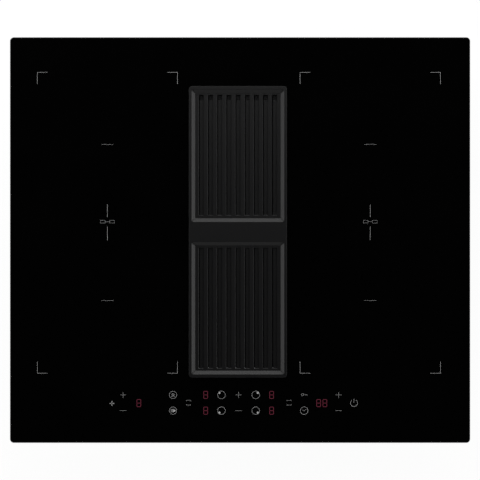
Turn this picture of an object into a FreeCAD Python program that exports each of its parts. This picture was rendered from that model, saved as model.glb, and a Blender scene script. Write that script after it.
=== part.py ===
# Downdraft induction cooktop: a black glass hob with four coils, and a fan that draws vapour down
# through a grille in the middle of the glass. It drops into a 560 x 490 mm cut-out in a worktop.
# X runs to the right of a person at the controls, Y to the back, Z up. The origin is the centre of
# the underside, below the middle of the glass. Millimetres.
import FreeCAD, Part

import math
import os
import re

import Sketcher
from FreeCAD import Placement, Rotation, Vector

doc = FreeCAD.newDocument("DowndraftCooktop")
sheet = doc.addObject("Spreadsheet::Sheet", "Sizes")

# Driving sizes, piece by piece
SIZES = {
    # glass plate
    "glass_width": 590,
    "glass_depth": 520,
    "glass_thickness": 4,
    "glass_corner": 5,
    "glass_bevel": 0.8,
    "cutout_corner": 6,
    # foam tape under the edge of the glass
    "tape_inset": 3,
    "tape_width": 9,
    "tape_thickness": 2,
    # sheet-steel casing of the hob
    "glass_overhang": 17,
    "casing_height": 55,
    "casing_sheet": 1,
    "casing_gap": 1,
    "vent_width": 4,
    "vent_length": 64,
    "vent_pitch": 12,
    "vent_count": 6,
    "side_vent_height": 20,
    "side_vent_pitch": 24,
    "side_vent_count": 5,
    "side_vent_sill": 12,
    # steel angle frame glued under the glass
    "angle_flange": 10,
    "angle_leg": 13,
    "angle_sheet": 1.2,
    # suction grille, laid over the cut-out in the glass
    "inlet_x": -2.8,
    "inlet_y": 10.5,
    "cover_width": 126,
    "cover_margin": 146,
    "cover_corner": 4,
    "cover_bevel": 0.4,
    "cover_rim": 2.7,
    "cover_overlap": 3.75,
    "cover_fit": 0.6,
    "window_width": 119,
    "window_margin": 4.35,
    "window_bevel": 5,
    "window_sink": 4.5,
    "crossbar": 25.3,
    "grate_thickness": 6,
    "slot_count": 9,
    "slot_pitch": 11.75,
    "slot_width": 6.3,
    "slot_margin": 9.5,
    "slot_lead": 0.3,
    "slat_drop": 3.3,
    "slit_width": 1.2,
    "slit_mouth": 6,
    "buffer_width": 3.6,
    "buffer_length": 14,
    "buffer_thickness": 0.8,
    "buffer_inset": 37,
    # moulded inlet frame through the glass
    "frame_fit": 0.25,
    "frame_wall": 2,
    "frame_corner": 4.5,
    "flange_inset": 1.5,
    "flange_thickness": 1.2,
    "gasket_thickness": 0.8,
    "ledge_width": 4,
    "ledge_thickness": 2,
    # grease filter cassette
    "filter_fit": 0.5,
    "filter_gap": 5,
    "filter_height": 15,
    "filter_sheet": 1.2,
    "filter_lip": 6,
    "mesh_gap": 0.3,
    "handle_depth": 18,
    # drip tray
    "tray_gap_side": 2,
    "tray_gap_end": 3,
    "tray_height": 28,
    "tray_wall": 1.5,
    "tray_draft": 3,
    "tray_corner": 12,
    "tab_width": 34,
    "tab_height": 12,
    # blower housing, deck and duct
    "housing_height": 150,
    "housing_wall": 2.5,
    "housing_split": 92,
    "housing_corner": 8,
    "rim_width": 8,
    "sump_width": 100,
    "sump_inset": 10,
    "collar_fit": 0.4,
    "collar_drop": 2,
    "rib_count": 6,
    "rib_inset": 37,
    "rib_depth": 6,
    # volute, fan inlet and outlet
    "fan_y": -45,
    "tongue_gap": 5,
    "tongue_sweep": 75,
    "volute_step": 13.5,
    "eye_radius": 49,
    "eye_wall": 2,
    "eye_lip": 2,
    "spigot_width": 218,
    "spigot_height": 86,
    "spigot_wall": 2,
    "spigot_length": 17,
    "spigot_flange": 6,
    "spigot_corner": 5,
    "flange_plate": 3,
    "rear_setback": 5,
    # impeller
    "impeller_radius": 64,
    "impeller_gap": 4,
    "impeller_lift": 9.5,
    "backplate": 2,
    "blade_count": 20,
    "blade_depth": 12.6,
    "blade_bend": 13,
    "blade_sweep": 66,
    "blade_thickness": 1.3,
    "shroud_height": 3,
    "shroud_wall": 2,
    "dome_gap": 4,
    "dome_wall": 2.5,
    "hub_radius": 10,
    "hub_height": 16,
    "nut_radius": 7,
    "nut_height": 4,
    # fan motor
    "motor_radius": 38,
    "motor_height": 32,
    "shaft_radius": 4,
    "shaft_fit": 0.05,
    "motor_base": 4,
    "bracket_radius": 50,
    "bracket_reach": 57,
    "bracket_half_angle": 8,
    "bracket_sheet": 2,
    "grommet_radius": 6,
    "grommet_height": 3,
    # induction coils and what carries them
    "zone_shift": -1.5,
    "zone_side": 33.4,
    "zone_back": 42.7,
    "inlet_room": 109,
    "panel_room": 130,
    "coil_corner": 34,
    "coil_margin": 5,
    "coil_space": 11,
    "coil_eye": 56,
    "coil_height": 5.5,
    "former_height": 1.5,
    "former_rim": 2.5,
    "ferrite_share": 0.295,
    "ferrite_width": 12,
    "ferrite_height": 5,
    "sensor_radius": 9,
    "mica_thickness": 0.5,
    "plate_sheet": 1.5,
    "plate_window": 36,
    "post_radius": 4,
    "post_inset": 9,
    # power electronics
    "board_y": 92,
    "board_width": 150,
    "board_depth": 190,
    "board_thickness": 1.6,
    "board_lift": 5,
    "spacer_radius": 3,
    "spacer_inset": 7,
    "sink_width": 58,
    "sink_depth": 150,
    "sink_height": 26,
    "sink_base": 5,
    "fin_count": 9,
    "fin_thickness": 1.6,
    "capacitor_width": 30,
    "capacitor_depth": 14,
    "capacitor_height": 24,
    "capacitor_pitch": 28,
    # cooling fans
    "cooler_y": -108,
    "cooler_size": 80,
    "cooler_height": 22,
    "cooler_bore": 37.5,
    "cooler_web": 2,
    "cooler_strut": 5,
    "cooler_hub": 15,
    "cooler_cap": 1.5,
    "cooler_gap": 1,
    "cooler_pin": 2.5,
    "fan_blade_count": 5,
    "fan_blade_sheet": 1.6,
    "fan_blade_swing": 8,
    "fan_tip_gap": 1.5,
    # touch controls
    "panel_x": -9,
    "panel_inset": 51,
    "panel_width": 336,
    "panel_depth": 40,
    "panel_height": 11,
    "panel_wall": 1.6,
    "panel_fit": 0.3,
    "touch_pad": 7,
    "digit_width": 10,
    "digit_depth": 14,
    # mains connection
    "terminal_inset": 73,
    "terminal_width": 84,
    "terminal_depth": 62,
    "terminal_height": 34,
    "terminal_wall": 2,
    "terminal_setback": 8,
    "gland_bore": 7,
    "gland_radius": 14,
    "gland_length": 6,
    "block_width": 56,
    "block_depth": 22,
    "block_height": 14,
    # driver of the blower motor, screwed to two ribs of the housing
    "driver_width": 28,
    "driver_depth": 76,
    "driver_height": 46,
    "driver_lift": 26,
    "driver_lid": 2,
    # spring clips that grip the sides of the cut-out
    "clip_width": 26,
    "clip_sheet": 0.8,
    "clip_bulge": 5,
    "clip_height": 38,
    "clip_drop": 15,
    "clip_foot": 10,
    "clip_spacing": 300,
    # screw heads
    "screw_radius": 3.2,
    "screw_height": 2,
    # cuts run this far past a face
    "overrun": 1,
}

# Levels, widths and places that follow from the driving sizes
PLACES = {
    "glass_bottom": "housing_height + casing_height",
    "glass_face": "glass_bottom + glass_thickness",
    "casing_width": "glass_width - 2 * glass_overhang",
    "casing_depth": "glass_depth - 2 * glass_overhang",
    "casing_top": "glass_bottom - casing_gap",
    "casing_floor": "housing_height + casing_sheet",
    "cover_depth": "glass_depth - cover_margin",
    "cutout_width": "cover_width - 2 * cover_overlap",
    "cutout_depth": "cover_depth - 2 * cover_overlap",
    "skirt_width": "cutout_width - 2 * frame_fit",
    "skirt_depth": "cutout_depth - 2 * frame_fit",
    "throat_width": "skirt_width - 2 * frame_wall",
    "throat_depth": "skirt_depth - 2 * frame_wall",
    "flange_width": "cover_width - 2 * flange_inset",
    "flange_depth": "cover_depth - 2 * flange_inset",
    "flange_bottom": "glass_face + gasket_thickness",
    "flange_top": "flange_bottom + flange_thickness",
    "cover_seat": "flange_top + buffer_thickness",
    "cover_top": "cover_seat + cover_rim",
    "grate_top": "cover_top - window_sink",
    "grate_bottom": "grate_top - grate_thickness",
    "slat_top": "grate_top - slat_drop",
    "window_depth": "(cover_depth - crossbar) / 2 - window_margin",
    "window_offset": "(window_depth + crossbar) / 2",
    "slot_length": "window_depth - 2 * slot_margin",
    "buffer_pitch": "cover_depth / 2 - buffer_inset",
    "filter_top": "grate_bottom - filter_gap",
    "filter_bottom": "filter_top - filter_height",
    "filter_width": "throat_width - 2 * filter_fit",
    "filter_depth": "throat_depth - 2 * filter_fit",
    "frame_bottom": "filter_bottom - ledge_thickness",
    "collar_width": "skirt_width + 2 * collar_fit",
    "collar_depth": "skirt_depth + 2 * collar_fit",
    "collar_top": "glass_bottom - collar_drop",
    "deck_top": "housing_split + housing_wall",
    "sump_depth": "cover_depth - 2 * sump_inset",
    "rib_pitch": "(sump_depth - 2 * rib_inset) / (rib_count - 1)",
    "tray_width": "sump_width - 2 * tray_gap_side",
    "tray_depth": "sump_depth - 2 * tray_gap_end",
    "tray_top": "housing_wall + tray_height",
    "volute_start": "impeller_radius + volute_step / 2 + tongue_gap",
    "volute_left": "inlet_x + sump_width / 2 + housing_wall",
    "fan_x": "volute_left + volute_start + 1.5 * volute_step",
    "volute_right": "fan_x + volute_start + 3.5 * volute_step",
    "volute_front": "fan_y - volute_start - 2.5 * volute_step",
    "volute_back": "fan_y + volute_start + volute_step",
    "outlet_x": "volute_right - spigot_width / 2",
    "outlet_y": "casing_depth / 2 - rear_setback",
    "impeller_low": "housing_wall + impeller_lift",
    "impeller_high": "housing_split - impeller_gap",
    "bracket_low": "housing_wall + grommet_height",
    "motor_low": "bracket_low + bracket_sheet",
    "motor_high": "motor_low + motor_height",
    "dome_roof": "motor_high + dome_gap",
    "hub_top": "dome_roof + dome_wall + hub_height",
    "mica_width": "glass_width / 2 - inlet_room",
    "mica_depth": "glass_depth - panel_room",
    "zone_x": "(glass_width - mica_width) / 2 - zone_side",
    "zone_y": "(glass_depth - mica_depth) / 2 - zone_back",
    "coil_width": "mica_width - 2 * coil_margin",
    "coil_pitch": "mica_depth / 2",
    "coil_depth": "coil_pitch - coil_space",
    "ferrite_length": "coil_width * ferrite_share",
    "coil_top": "glass_bottom - mica_thickness",
    "former_top": "coil_top - coil_height",
    "ferrite_top": "former_top - former_height",
    "plate_top": "ferrite_top - ferrite_height",
    "plate_bottom": "plate_top - plate_sheet",
    "board_bottom": "casing_floor + board_lift",
    "board_top": "board_bottom + board_thickness",
    "cooler_top": "casing_floor + cooler_height",
    "rotor_low": "casing_floor + cooler_web + cooler_gap",
    "rotor_high": "cooler_top - cooler_gap",
    "panel_y": "panel_inset - glass_depth / 2",
    "panel_bottom": "glass_bottom - panel_height",
    "panel_floor": "panel_bottom + panel_wall",
    "panel_board_top": "panel_floor + board_thickness",
    "terminal_x": "terminal_inset - casing_width / 2",
    "terminal_back": "casing_depth / 2 - terminal_setback",
    "terminal_y": "terminal_back - terminal_depth / 2",
    "terminal_low": "housing_height - terminal_height",
    "driver_x": "inlet_x - (sump_width + driver_width) / 2 - housing_wall - rib_depth",
    "driver_y": "inlet_y - 2 * rib_pitch",
    "driver_top": "driver_lift + driver_height",
}

# The two sides of the hob and the two rows of zones, with their signs in a formula
SIDES = {"left": "-", "right": "+"}
ROWS = {"front": "-", "rear": "+"}

# Places on the touch panel as shares of its width and depth from its middle. A display's third
# share is its number of digits.
DISPLAY_SHARES = [
    (-0.36, 0.08, 1),
    (-0.104, 0.26, 1),
    (-0.104, -0.26, 1),
    (0.147, 0.26, 1),
    (0.147, -0.26, 1),
    (0.338, 0.08, 1.7),
]
KEY_SHARES = [(-0.461, 0), (-0.17, 0), (0.213, 0), (0.462, 0)]
for column_share in (-0.42, -0.229, -0.045, 0.023, 0.087, 0.272, 0.404):
    KEY_SHARES += [(column_share, 0.26), (column_share, -0.26)]

# Screw places as shares of the length of the flange or wall that carries them
SIDE_SCREW_SHARES = [-0.42, -0.14, 0.14, 0.42]
FRONT_SCREW_SHARES = [0.4, 0.65, 0.9]
CASING_SCREW_SHARES = [-0.38, 0, 0.38]


def expand(text):
    """A formula with each name in it written out as cells of the sheet."""

    def cell(found):
        word = found.group(0)
        if word in SIZES:
            return "Sizes." + word
        if word in PLACES:
            return "(" + expand(PLACES[word]) + ")"
        return word

    return re.sub(r"[a-z][a-z_]*", cell, text)


def value(text):
    """The number that a formula comes to."""
    return float(sheet.evalExpression(expand(text)))


def fill_sheet():
    for row, (name, number) in enumerate(SIZES.items(), start=1):
        sheet.set(f"A{row}", name)
        sheet.set(f"B{row}", str(number))
        sheet.setAlias(f"B{row}", name)
    doc.recompute()


def bind(piece, formulas):
    """Binds properties of a piece to formulas on the sheet."""
    for name, text in formulas.items():
        piece.setExpression(name, expand(text))


# Outlines: each returns a function that draws it, fully constrained, in a sketch


def tie(sketch, rule, text=None):
    """Adds a constraint and binds its number, if it has one, to a formula."""
    number = sketch.addConstraint(Sketcher.Constraint(*rule))
    if text is not None:
        sketch.setExpression(f"Constraints[{number}]", expand(text))


def tie_point(sketch, curve, point, x, y):
    """Holds one point of a curve at formulas for its X and Y."""
    tie(sketch, ("DistanceX", -1, 1, curve, point, value(x)), x)
    tie(sketch, ("DistanceY", -1, 1, curve, point, value(y)), y)


def polygon(corners):
    """Closed outline through corners given as pairs of formulas."""

    def draw(sketch):
        first = sketch.GeometryCount
        points = [Vector(value(x), value(y), 0) for x, y in corners]
        count = len(points)
        for i in range(count):
            sketch.addGeometry(Part.LineSegment(points[i], points[(i + 1) % count]), False)
        for i, (x, y) in enumerate(corners):
            tie(sketch, ("Coincident", first + i, 2, first + (i + 1) % count, 1))
            tie_point(sketch, first + i, 1, x, y)

    return draw


def rectangle(x, y, width, depth):
    left, right = f"({x}) - ({width}) / 2", f"({x}) + ({width}) / 2"
    front, back = f"({y}) - ({depth}) / 2", f"({y}) + ({depth}) / 2"
    return polygon([(left, front), (right, front), (right, back), (left, back)])


def octagon(x, y, width, depth, corner):
    """Rectangle with its four corners cut off."""
    half_wide, half_deep = f"({width}) / 2", f"({depth}) / 2"
    corners = []
    signs = (("-", "-", True), ("+", "-", False), ("+", "+", True), ("-", "+", False))
    for across, along, flat_first in signs:
        on_end = (f"({x}) {across} ({half_wide} - {corner})", f"({y}) {along} {half_deep}")
        on_side = (f"({x}) {across} {half_wide}", f"({y}) {along} ({half_deep} - {corner})")
        corners += [on_side, on_end] if flat_first else [on_end, on_side]
    return polygon(corners)


def rounded(x, y, width, depth, corner):
    """Rectangle with round corners."""

    def draw(sketch):
        first = sketch.GeometryCount
        radius = value(corner)
        half_wide, half_deep = value(width) / 2 - radius, value(depth) / 2 - radius
        ends = []
        for turn, (across, along) in enumerate(((1, -1), (1, 1), (-1, 1), (-1, -1)), start=-1):
            centre = Vector(value(x) + across * half_wide, value(y) + along * half_deep, 0)
            ring = Part.Circle(centre, Vector(0, 0, 1), radius)
            angles = [math.pi / 2 * turn, math.pi / 2 * (turn + 1)]
            sketch.addGeometry(Part.ArcOfCircle(ring, *angles), False)
            ends.append([ring.value(angle) for angle in angles])
        for i in range(4):
            sketch.addGeometry(Part.LineSegment(ends[i][1], ends[(i + 1) % 4][0]), False)
        for i, direction in enumerate(("Vertical", "Horizontal", "Vertical", "Horizontal")):
            side = first + 4 + i
            tie(sketch, ("Tangent", first + i, 2, side, 1))
            tie(sketch, ("Tangent", side, 2, first + (i + 1) % 4, 1))
            tie(sketch, (direction, side))
        for i in range(1, 4):
            tie(sketch, ("Equal", first, first + i))
        tie(sketch, ("Radius", first, radius), corner)
        for axis, side, text in (
            ("DistanceX", first + 4, f"({x}) + ({width}) / 2"),
            ("DistanceY", first + 5, f"({y}) + ({depth}) / 2"),
            ("DistanceX", first + 6, f"({x}) - ({width}) / 2"),
            ("DistanceY", first + 7, f"({y}) - ({depth}) / 2"),
        ):
            tie(sketch, (axis, -1, 1, side, 1, value(text)), text)

    return draw


def circle(x, y, radius):
    def draw(sketch):
        ring = Part.Circle(Vector(value(x), value(y), 0), Vector(0, 0, 1), value(radius))
        curve = sketch.addGeometry(ring, False)
        tie_point(sketch, curve, 3, x, y)
        tie(sketch, ("Radius", curve, value(radius)), radius)

    return draw


def add_arc(sketch, x, y, radius, start, end):
    """Adds an arc of a circle and holds its centre; angles in degrees."""
    ring = Part.Circle(Vector(value(x), value(y), 0), Vector(0, 0, 1), value(radius))
    angles = [math.radians(start), math.radians(end)]
    curve = sketch.addGeometry(Part.ArcOfCircle(ring, *angles), False)
    tie_point(sketch, curve, 3, x, y)
    return curve


def volute(grow):
    """Spiral of four quarter arcs, whose centres are the corners of a square, with its throat line."""

    def draw(sketch):
        curves = []
        for quarter, (across, along) in enumerate((("-", "+"), ("-", "-"), ("+", "-"), ("+", "+"))):
            x, y = f"fan_x {across} volute_step / 2", f"fan_y {along} volute_step / 2"
            radius = f"volute_start + {grow} + {quarter} * volute_step"
            curve = add_arc(sketch, x, y, radius, 90 * quarter, 90 * (quarter + 1))
            tie(sketch, ("Vertical" if quarter % 2 == 0 else "Horizontal", curve, 3, curve, 2))
            if curves:
                tie(sketch, ("Coincident", curves[-1], 2, curve, 1))
            else:
                tie(sketch, ("Horizontal", curve, 3, curve, 1))
                tie(sketch, ("Radius", curve, value(radius)), radius)
            curves.append(curve)
        ends = [sketch.Geometry[curves[-1]].EndPoint, sketch.Geometry[curves[0]].StartPoint]
        throat = sketch.addGeometry(Part.LineSegment(*ends), False)
        tie(sketch, ("Coincident", curves[-1], 2, throat, 1))
        tie(sketch, ("Coincident", throat, 2, curves[0], 1))

    return draw


def diffuser(grow):
    """Duct from the volute's throat, round the tongue and on to the outlet at the back."""
    x, y = "(fan_x - volute_step / 2)", "(fan_y + volute_step / 2)"
    radius = f"(volute_start + housing_wall - {grow})"
    left, right = f"volute_right - spigot_width - {grow}", f"volute_right + {grow}"
    tongue_x = f"{x} + {radius} * cos(tongue_sweep)"
    tongue_y = f"{y} + {radius} * sin(tongue_sweep)"
    shoulder = f"{tongue_y} + ({tongue_x} - ({left})) / tan(tongue_sweep)"
    corners = [(tongue_x, tongue_y), (left, shoulder), (left, "outlet_y"), (right, "outlet_y"), (right, y)]
    corners.append((f"{x} + {radius}", y))

    def draw(sketch):
        arc = add_arc(sketch, x, y, radius, 0, value("tongue_sweep"))
        tie(sketch, ("Radius", arc, value(radius)), radius)
        tie(sketch, ("Horizontal", arc, 3, arc, 1))
        tie(sketch, ("DistanceX", -1, 1, arc, 2, value(tongue_x)), tongue_x)
        points = [Vector(value(a), value(b), 0) for a, b in corners]
        lines = [sketch.addGeometry(Part.LineSegment(a, b), False) for a, b in zip(points, points[1:])]
        tie(sketch, ("Coincident", arc, 2, lines[0], 1))
        for before, line, corner in zip(lines, lines[1:], corners[1:]):
            tie(sketch, ("Coincident", before, 2, line, 1))
            tie_point(sketch, line, 1, *corner)
        tie(sketch, ("Coincident", lines[-1], 2, arc, 1))

    return draw


def blade():
    """Forward-curved blade, radial at its inner edge, rolled to two flats that follow an arc."""
    corners = []
    for radius, steps in (("blade_bend", (0, 0.5, 1)), ("(blade_bend - blade_thickness)", (1, 0.5, 0))):
        for step in steps:
            angle = f"({step} * blade_sweep)"
            x = f"impeller_radius - blade_depth + {radius} * sin{angle}"
            corners.append((x, f"blade_bend - {radius} * cos{angle}"))
    return polygon(corners)


# Bodies and their features


def new_body(label):
    body = doc.addObject("PartDesign::Body", label)
    body.Label = label
    return body


def own_plane(body, role):
    return [item for item in body.Origin.OriginFeatures if item.Role == role][0]


def new_sketch(body, outlines, level, plane="XY_Plane"):
    """A sketch on one of the body's own planes, lifted to a level and filled with outlines."""
    sketch = body.newObject("Sketcher::SketchObject", body.Label + "_sketch")
    sketch.AttachmentSupport = [(own_plane(body, plane), "")]
    sketch.MapMode = "FlatFace"
    bind(sketch, {"AttachmentOffset.Base.z": level})
    for draw in outlines:
        draw(sketch)
    return sketch


def pad(body, outlines, low, high, plane="XY_Plane"):
    """Adds a layer between two levels along the plane's axis."""
    level = f"-({high})" if plane == "XZ_Plane" else low
    feature = body.newObject("PartDesign::Pad", body.Label + "_pad")
    feature.Profile = new_sketch(body, outlines, level, plane)
    bind(feature, {"Length": f"({high}) - ({low})"})
    doc.recompute()
    return feature


def cut(body, outlines, low, high, plane="XY_Plane"):
    """Takes a layer away between two levels along the plane's axis."""
    before = body.Shape.Volume
    level = f"-({low})" if plane == "XZ_Plane" else high
    feature = body.newObject("PartDesign::Pocket", body.Label + "_cut")
    feature.Profile = new_sketch(body, outlines, level, plane)
    bind(feature, {"Length": f"({high}) - ({low})"})
    doc.recompute()
    if not body.Shape.Volume < before:
        raise ValueError(f"{body.Label}: a pocket cut nothing")
    return feature


def row_of(body, feature, axis, count, pitch):
    """Repeats a feature along its sketch's H_Axis or V_Axis."""
    pattern = body.newObject("PartDesign::LinearPattern", body.Label + "_row")
    pattern.Originals = [feature]
    pattern.Direction = (feature.Profile[0], [axis])
    pattern.Mode = "Spacing"
    bind(pattern, {"Offset": pitch, "Occurrences": count})
    body.Tip = pattern
    doc.recompute()


def ring_of(body, feature, count):
    """Repeats a feature round the body's own upright axis."""
    pattern = body.newObject("PartDesign::PolarPattern", body.Label + "_ring")
    pattern.Originals = [feature]
    pattern.Axis = (own_plane(body, "Z_Axis"), [""])
    pattern.Angle = 360
    bind(pattern, {"Occurrences": count})
    body.Tip = pattern
    doc.recompute()


def turn(body, corners):
    """Turns an outline of (radius, level) corners round the body's own upright axis."""
    feature = body.newObject("PartDesign::Revolution", body.Label + "_turn")
    feature.Profile = new_sketch(body, [polygon(corners)], "0", "XZ_Plane")
    feature.ReferenceAxis = (feature.Profile[0], ["V_Axis"])
    feature.Angle = 360
    doc.recompute()


def loft(body, kind, lower, low, upper, high):
    """Runs from one outline to another; kind is Additive or Subtractive."""
    feature = body.newObject(f"PartDesign::{kind}Loft", body.Label + "_loft")
    feature.Profile = new_sketch(body, [lower], low)
    feature.Sections = [new_sketch(body, [upper], high)]
    feature.Ruled = True
    doc.recompute()
    return feature


def bevel(body, size, level):
    """Bevels the edges at a level."""
    base = body.Tip
    names = []
    for number, edge in enumerate(base.Shape.Edges, start=1):
        box = edge.BoundBox
        if math.isclose(box.ZMin, level, rel_tol=1e-6) and math.isclose(box.ZMax, level, rel_tol=1e-6):
            names.append(f"Edge{number}")
    feature = body.newObject("PartDesign::Chamfer", body.Label + "_bevel")
    feature.Base = (base, names)
    bind(feature, {"Size": size})
    doc.recompute()


def stand_at(body, x, y):
    """Moves a body that was drawn round its own axis to its place."""
    bind(body, {"Placement.Base.x": x, "Placement.Base.y": y})
    doc.recompute()


# Plain solids and groups of them


def block(label, x, y, width, depth, low, high):
    """Rectangular block about a middle point, between two levels."""
    piece = doc.addObject("Part::Box", label)
    piece.Label = label
    sizes = {"Length": width, "Width": depth, "Height": f"({high}) - ({low})"}
    corner = {
        "Placement.Base.x": f"({x}) - ({width}) / 2",
        "Placement.Base.y": f"({y}) - ({depth}) / 2",
        "Placement.Base.z": low,
    }
    bind(piece, sizes | corner)
    return piece


def prism(label, sides, base, radius, height, direction=Vector(0, 0, 1)):
    """Prism with equal sides on a base point; radius is to its corners."""
    piece = doc.addObject("Part::Prism", label)
    piece.Label = label
    piece.Polygon = sides
    piece.Placement = Placement(Vector(), Rotation(Vector(0, 0, 1), direction))
    sizes = {"Circumradius": radius, "Height": height}
    place = {f"Placement.Base.{axis}": text for axis, text in zip("xyz", base)}
    bind(piece, sizes | place)
    return piece


def group(label, members):
    """Joins separate solids under one label."""
    piece = doc.addObject("Part::Compound", label)
    piece.Label = label
    piece.Links = members
    return piece


# Glass, tape and steel casing


def make_glass_top():
    body = new_body("glass_top")
    outline = rounded("0", "0", "glass_width", "glass_depth", "glass_corner")
    pad(body, [outline], "glass_bottom", "glass_face")
    bevel(body, "glass_bevel", value("glass_face"))
    hole = rounded("inlet_x", "inlet_y", "cutout_width", "cutout_depth", "cutout_corner")
    cut(body, [hole], "glass_bottom", "glass_face")


def make_seal_tape():
    body = new_body("seal_tape")
    outer = [f"glass_{side} - 2 * tape_inset" for side in ("width", "depth")]
    inner = [f"{text} - 2 * tape_width" for text in outer]
    rings = [rectangle("0", "0", *outer), rectangle("0", "0", *inner)]
    pad(body, rings, "glass_bottom - tape_thickness", "glass_bottom")


def make_casing_tray():
    body = new_body("casing_tray")
    pad(body, [rectangle("0", "0", "casing_width", "casing_depth")], "housing_height", "casing_top")
    inner = [f"casing_{side} - 2 * casing_sheet" for side in ("width", "depth")]
    cut(body, [rectangle("0", "0", *inner)], "casing_floor", "casing_top")
    opening = [f"collar_{side} + 2 * (housing_wall + casing_gap)" for side in ("width", "depth")]
    cut(body, [rectangle("inlet_x", "inlet_y", *opening)], "housing_height", "casing_floor")
    for sign in SIDES.values():
        first = f"zone_shift {sign} zone_x - vent_pitch * (vent_count - 1) / 2"
        slot = rectangle(first, "cooler_y", "vent_width", "vent_length")
        vent = cut(body, [slot], "housing_height", "casing_floor")
        row_of(body, vent, "H_Axis", "vent_count", "vent_pitch")
        first = f"{sign} zone_x - side_vent_pitch * (side_vent_count - 1) / 2"
        slot = rectangle(first, "0", "vent_width", "casing_depth + 2 * overrun")
        sill = "casing_floor + side_vent_sill"
        vent = cut(body, [slot], sill, f"{sill} + side_vent_height")
        row_of(body, vent, "H_Axis", "side_vent_count", "side_vent_pitch")


def make_angle_frame():
    body = new_body("angle_frame")
    outer = [f"casing_{side} - 2 * casing_sheet - 2 * casing_gap" for side in ("width", "depth")]
    leg = [f"{text} - 2 * angle_sheet" for text in outer]
    flange = [f"{text} - 2 * angle_flange" for text in outer]
    top = "glass_bottom - angle_sheet"
    pad(body, [rectangle("0", "0", *outer), rectangle("0", "0", *flange)], top, "glass_bottom")
    pad(body, [rectangle("0", "0", *outer), rectangle("0", "0", *leg)], "glass_bottom - angle_leg", top)


def make_side_clips():
    """Bent leaf springs, whose bulge presses on the side of the worktop cut-out."""
    clips = []
    top, wall = "(casing_top - clip_drop)", "casing_width / 2"
    knee, tail = f"({top} - clip_foot)", f"({top} - clip_height)"
    bulge = f"({knee} + {tail}) / 2"
    line = [("0", top), ("0", knee), ("clip_bulge", bulge), ("0", tail)]
    for side, across in SIDES.items():
        for row, along in ROWS.items():
            clip = new_body(f"clip_{side}_{row}")
            outer = [(f"{across} ({wall} + {out} + clip_sheet)", level) for out, level in line]
            inner = [(f"{across} ({wall} + {out})", level) for out, level in reversed(line)]
            middle = f"{along} clip_spacing / 2"
            edges = [f"{middle} - clip_width / 2", f"{middle} + clip_width / 2"]
            pad(clip, [polygon(outer + inner)], *edges, "XZ_Plane")
            clips.append(clip)
    group("side_clips", clips)


def make_casing_screws():
    """Hexagon heads in the casing walls, into the angle frame, and one in each clip's foot."""
    heads = []
    level = "casing_top - angle_leg / 2"
    for across in SIDES.values():
        toward = Vector(int(across + "1"), 0, 0)
        for share in CASING_SCREW_SHARES:
            base = (f"{across} casing_width / 2", f"{share} * casing_depth", level)
            heads.append(prism("screw", 6, base, "screw_radius", "screw_height", toward))
            base = (f"{share} * casing_width", f"{across} casing_depth / 2", level)
            heads.append(prism("screw", 6, base, "screw_radius", "screw_height", Vector(0, toward.x, 0)))
        for along in ROWS.values():
            foot = f"{across} (casing_width / 2 + clip_sheet)"
            base = (foot, f"{along} clip_spacing / 2", "casing_top - clip_drop - clip_foot / 2")
            heads.append(prism("screw", 6, base, "screw_radius", "screw_height", toward))
    group("casing_screws", heads)


# Suction grille, inlet frame, grease filter and drip tray


def slit(left, front):
    """Outline of what a slat leaves open: a slit along its left side and a mouth at its back end."""
    right, back = f"{left} + slot_width", f"{front} + slot_length"
    inner, end = f"{left} + slit_width", f"{back} - slit_mouth"
    return polygon([(left, front), (inner, front), (inner, end), (right, end), (right, back), (left, back)])


def make_vent_cover():
    """Casting with two windows of slots, each slot with a slat low in it, so that spills run off."""
    body = new_body("vent_cover")
    outline = rounded("inlet_x", "inlet_y", "cover_width", "cover_depth", "cover_corner")
    pad(body, [outline], "cover_seat", "cover_top")
    bevel(body, "cover_bevel", value("cover_top"))
    plug = [f"throat_{side} - 2 * cover_fit" for side in ("width", "depth")]
    pad(body, [octagon("inlet_x", "inlet_y", *plug, "frame_corner")], "grate_bottom", "cover_seat")
    floor = [f"window_{side} - 2 * window_bevel" for side in ("width", "depth")]
    for along in ROWS.values():
        middle = f"inlet_y {along} window_offset"
        lower = rectangle("inlet_x", middle, *floor)
        upper = rectangle("inlet_x", middle, "window_width", "window_depth")
        loft(body, "Subtractive", lower, "grate_top", upper, "cover_top")
    first = "inlet_x - slot_pitch * (slot_count - 1) / 2"
    slots, slits = [], []
    for along in ROWS.values():
        middle = f"inlet_y {along} window_offset"
        slots.append(rectangle(first, middle, "slot_width", "slot_length"))
        slits.append(slit(f"({first} - slot_width / 2)", f"({middle} - slot_length / 2)"))
    row_of(body, cut(body, slots, "slat_top", "grate_top"), "H_Axis", "slot_count", "slot_pitch")
    row_of(body, cut(body, slits, "grate_bottom", "slat_top"), "H_Axis", "slot_count", "slot_pitch")
    for along in ROWS.values():
        middle = f"inlet_y {along} window_offset"
        slot = rectangle(first, middle, "slot_width", "slot_length")
        mouth = rectangle(first, middle, "slot_width + 2 * slot_lead", "slot_length + 2 * slot_lead")
        lead = loft(body, "Subtractive", slot, "grate_top - slot_lead", mouth, "grate_top")
        row_of(body, lead, "H_Axis", "slot_count", "slot_pitch")


def make_cover_pads():
    """Rubber buffers on the flange, which carry the cover."""
    buffers = []
    for across in SIDES.values():
        for along in (-1, 0, 1):
            x = f"inlet_x {across} (throat_width + flange_width) / 4"
            y = f"inlet_y + {along} * buffer_pitch"
            buffers.append(block("buffer", x, y, "buffer_width", "buffer_length", "flange_top", "cover_seat"))
    group("cover_pads", buffers)


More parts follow.
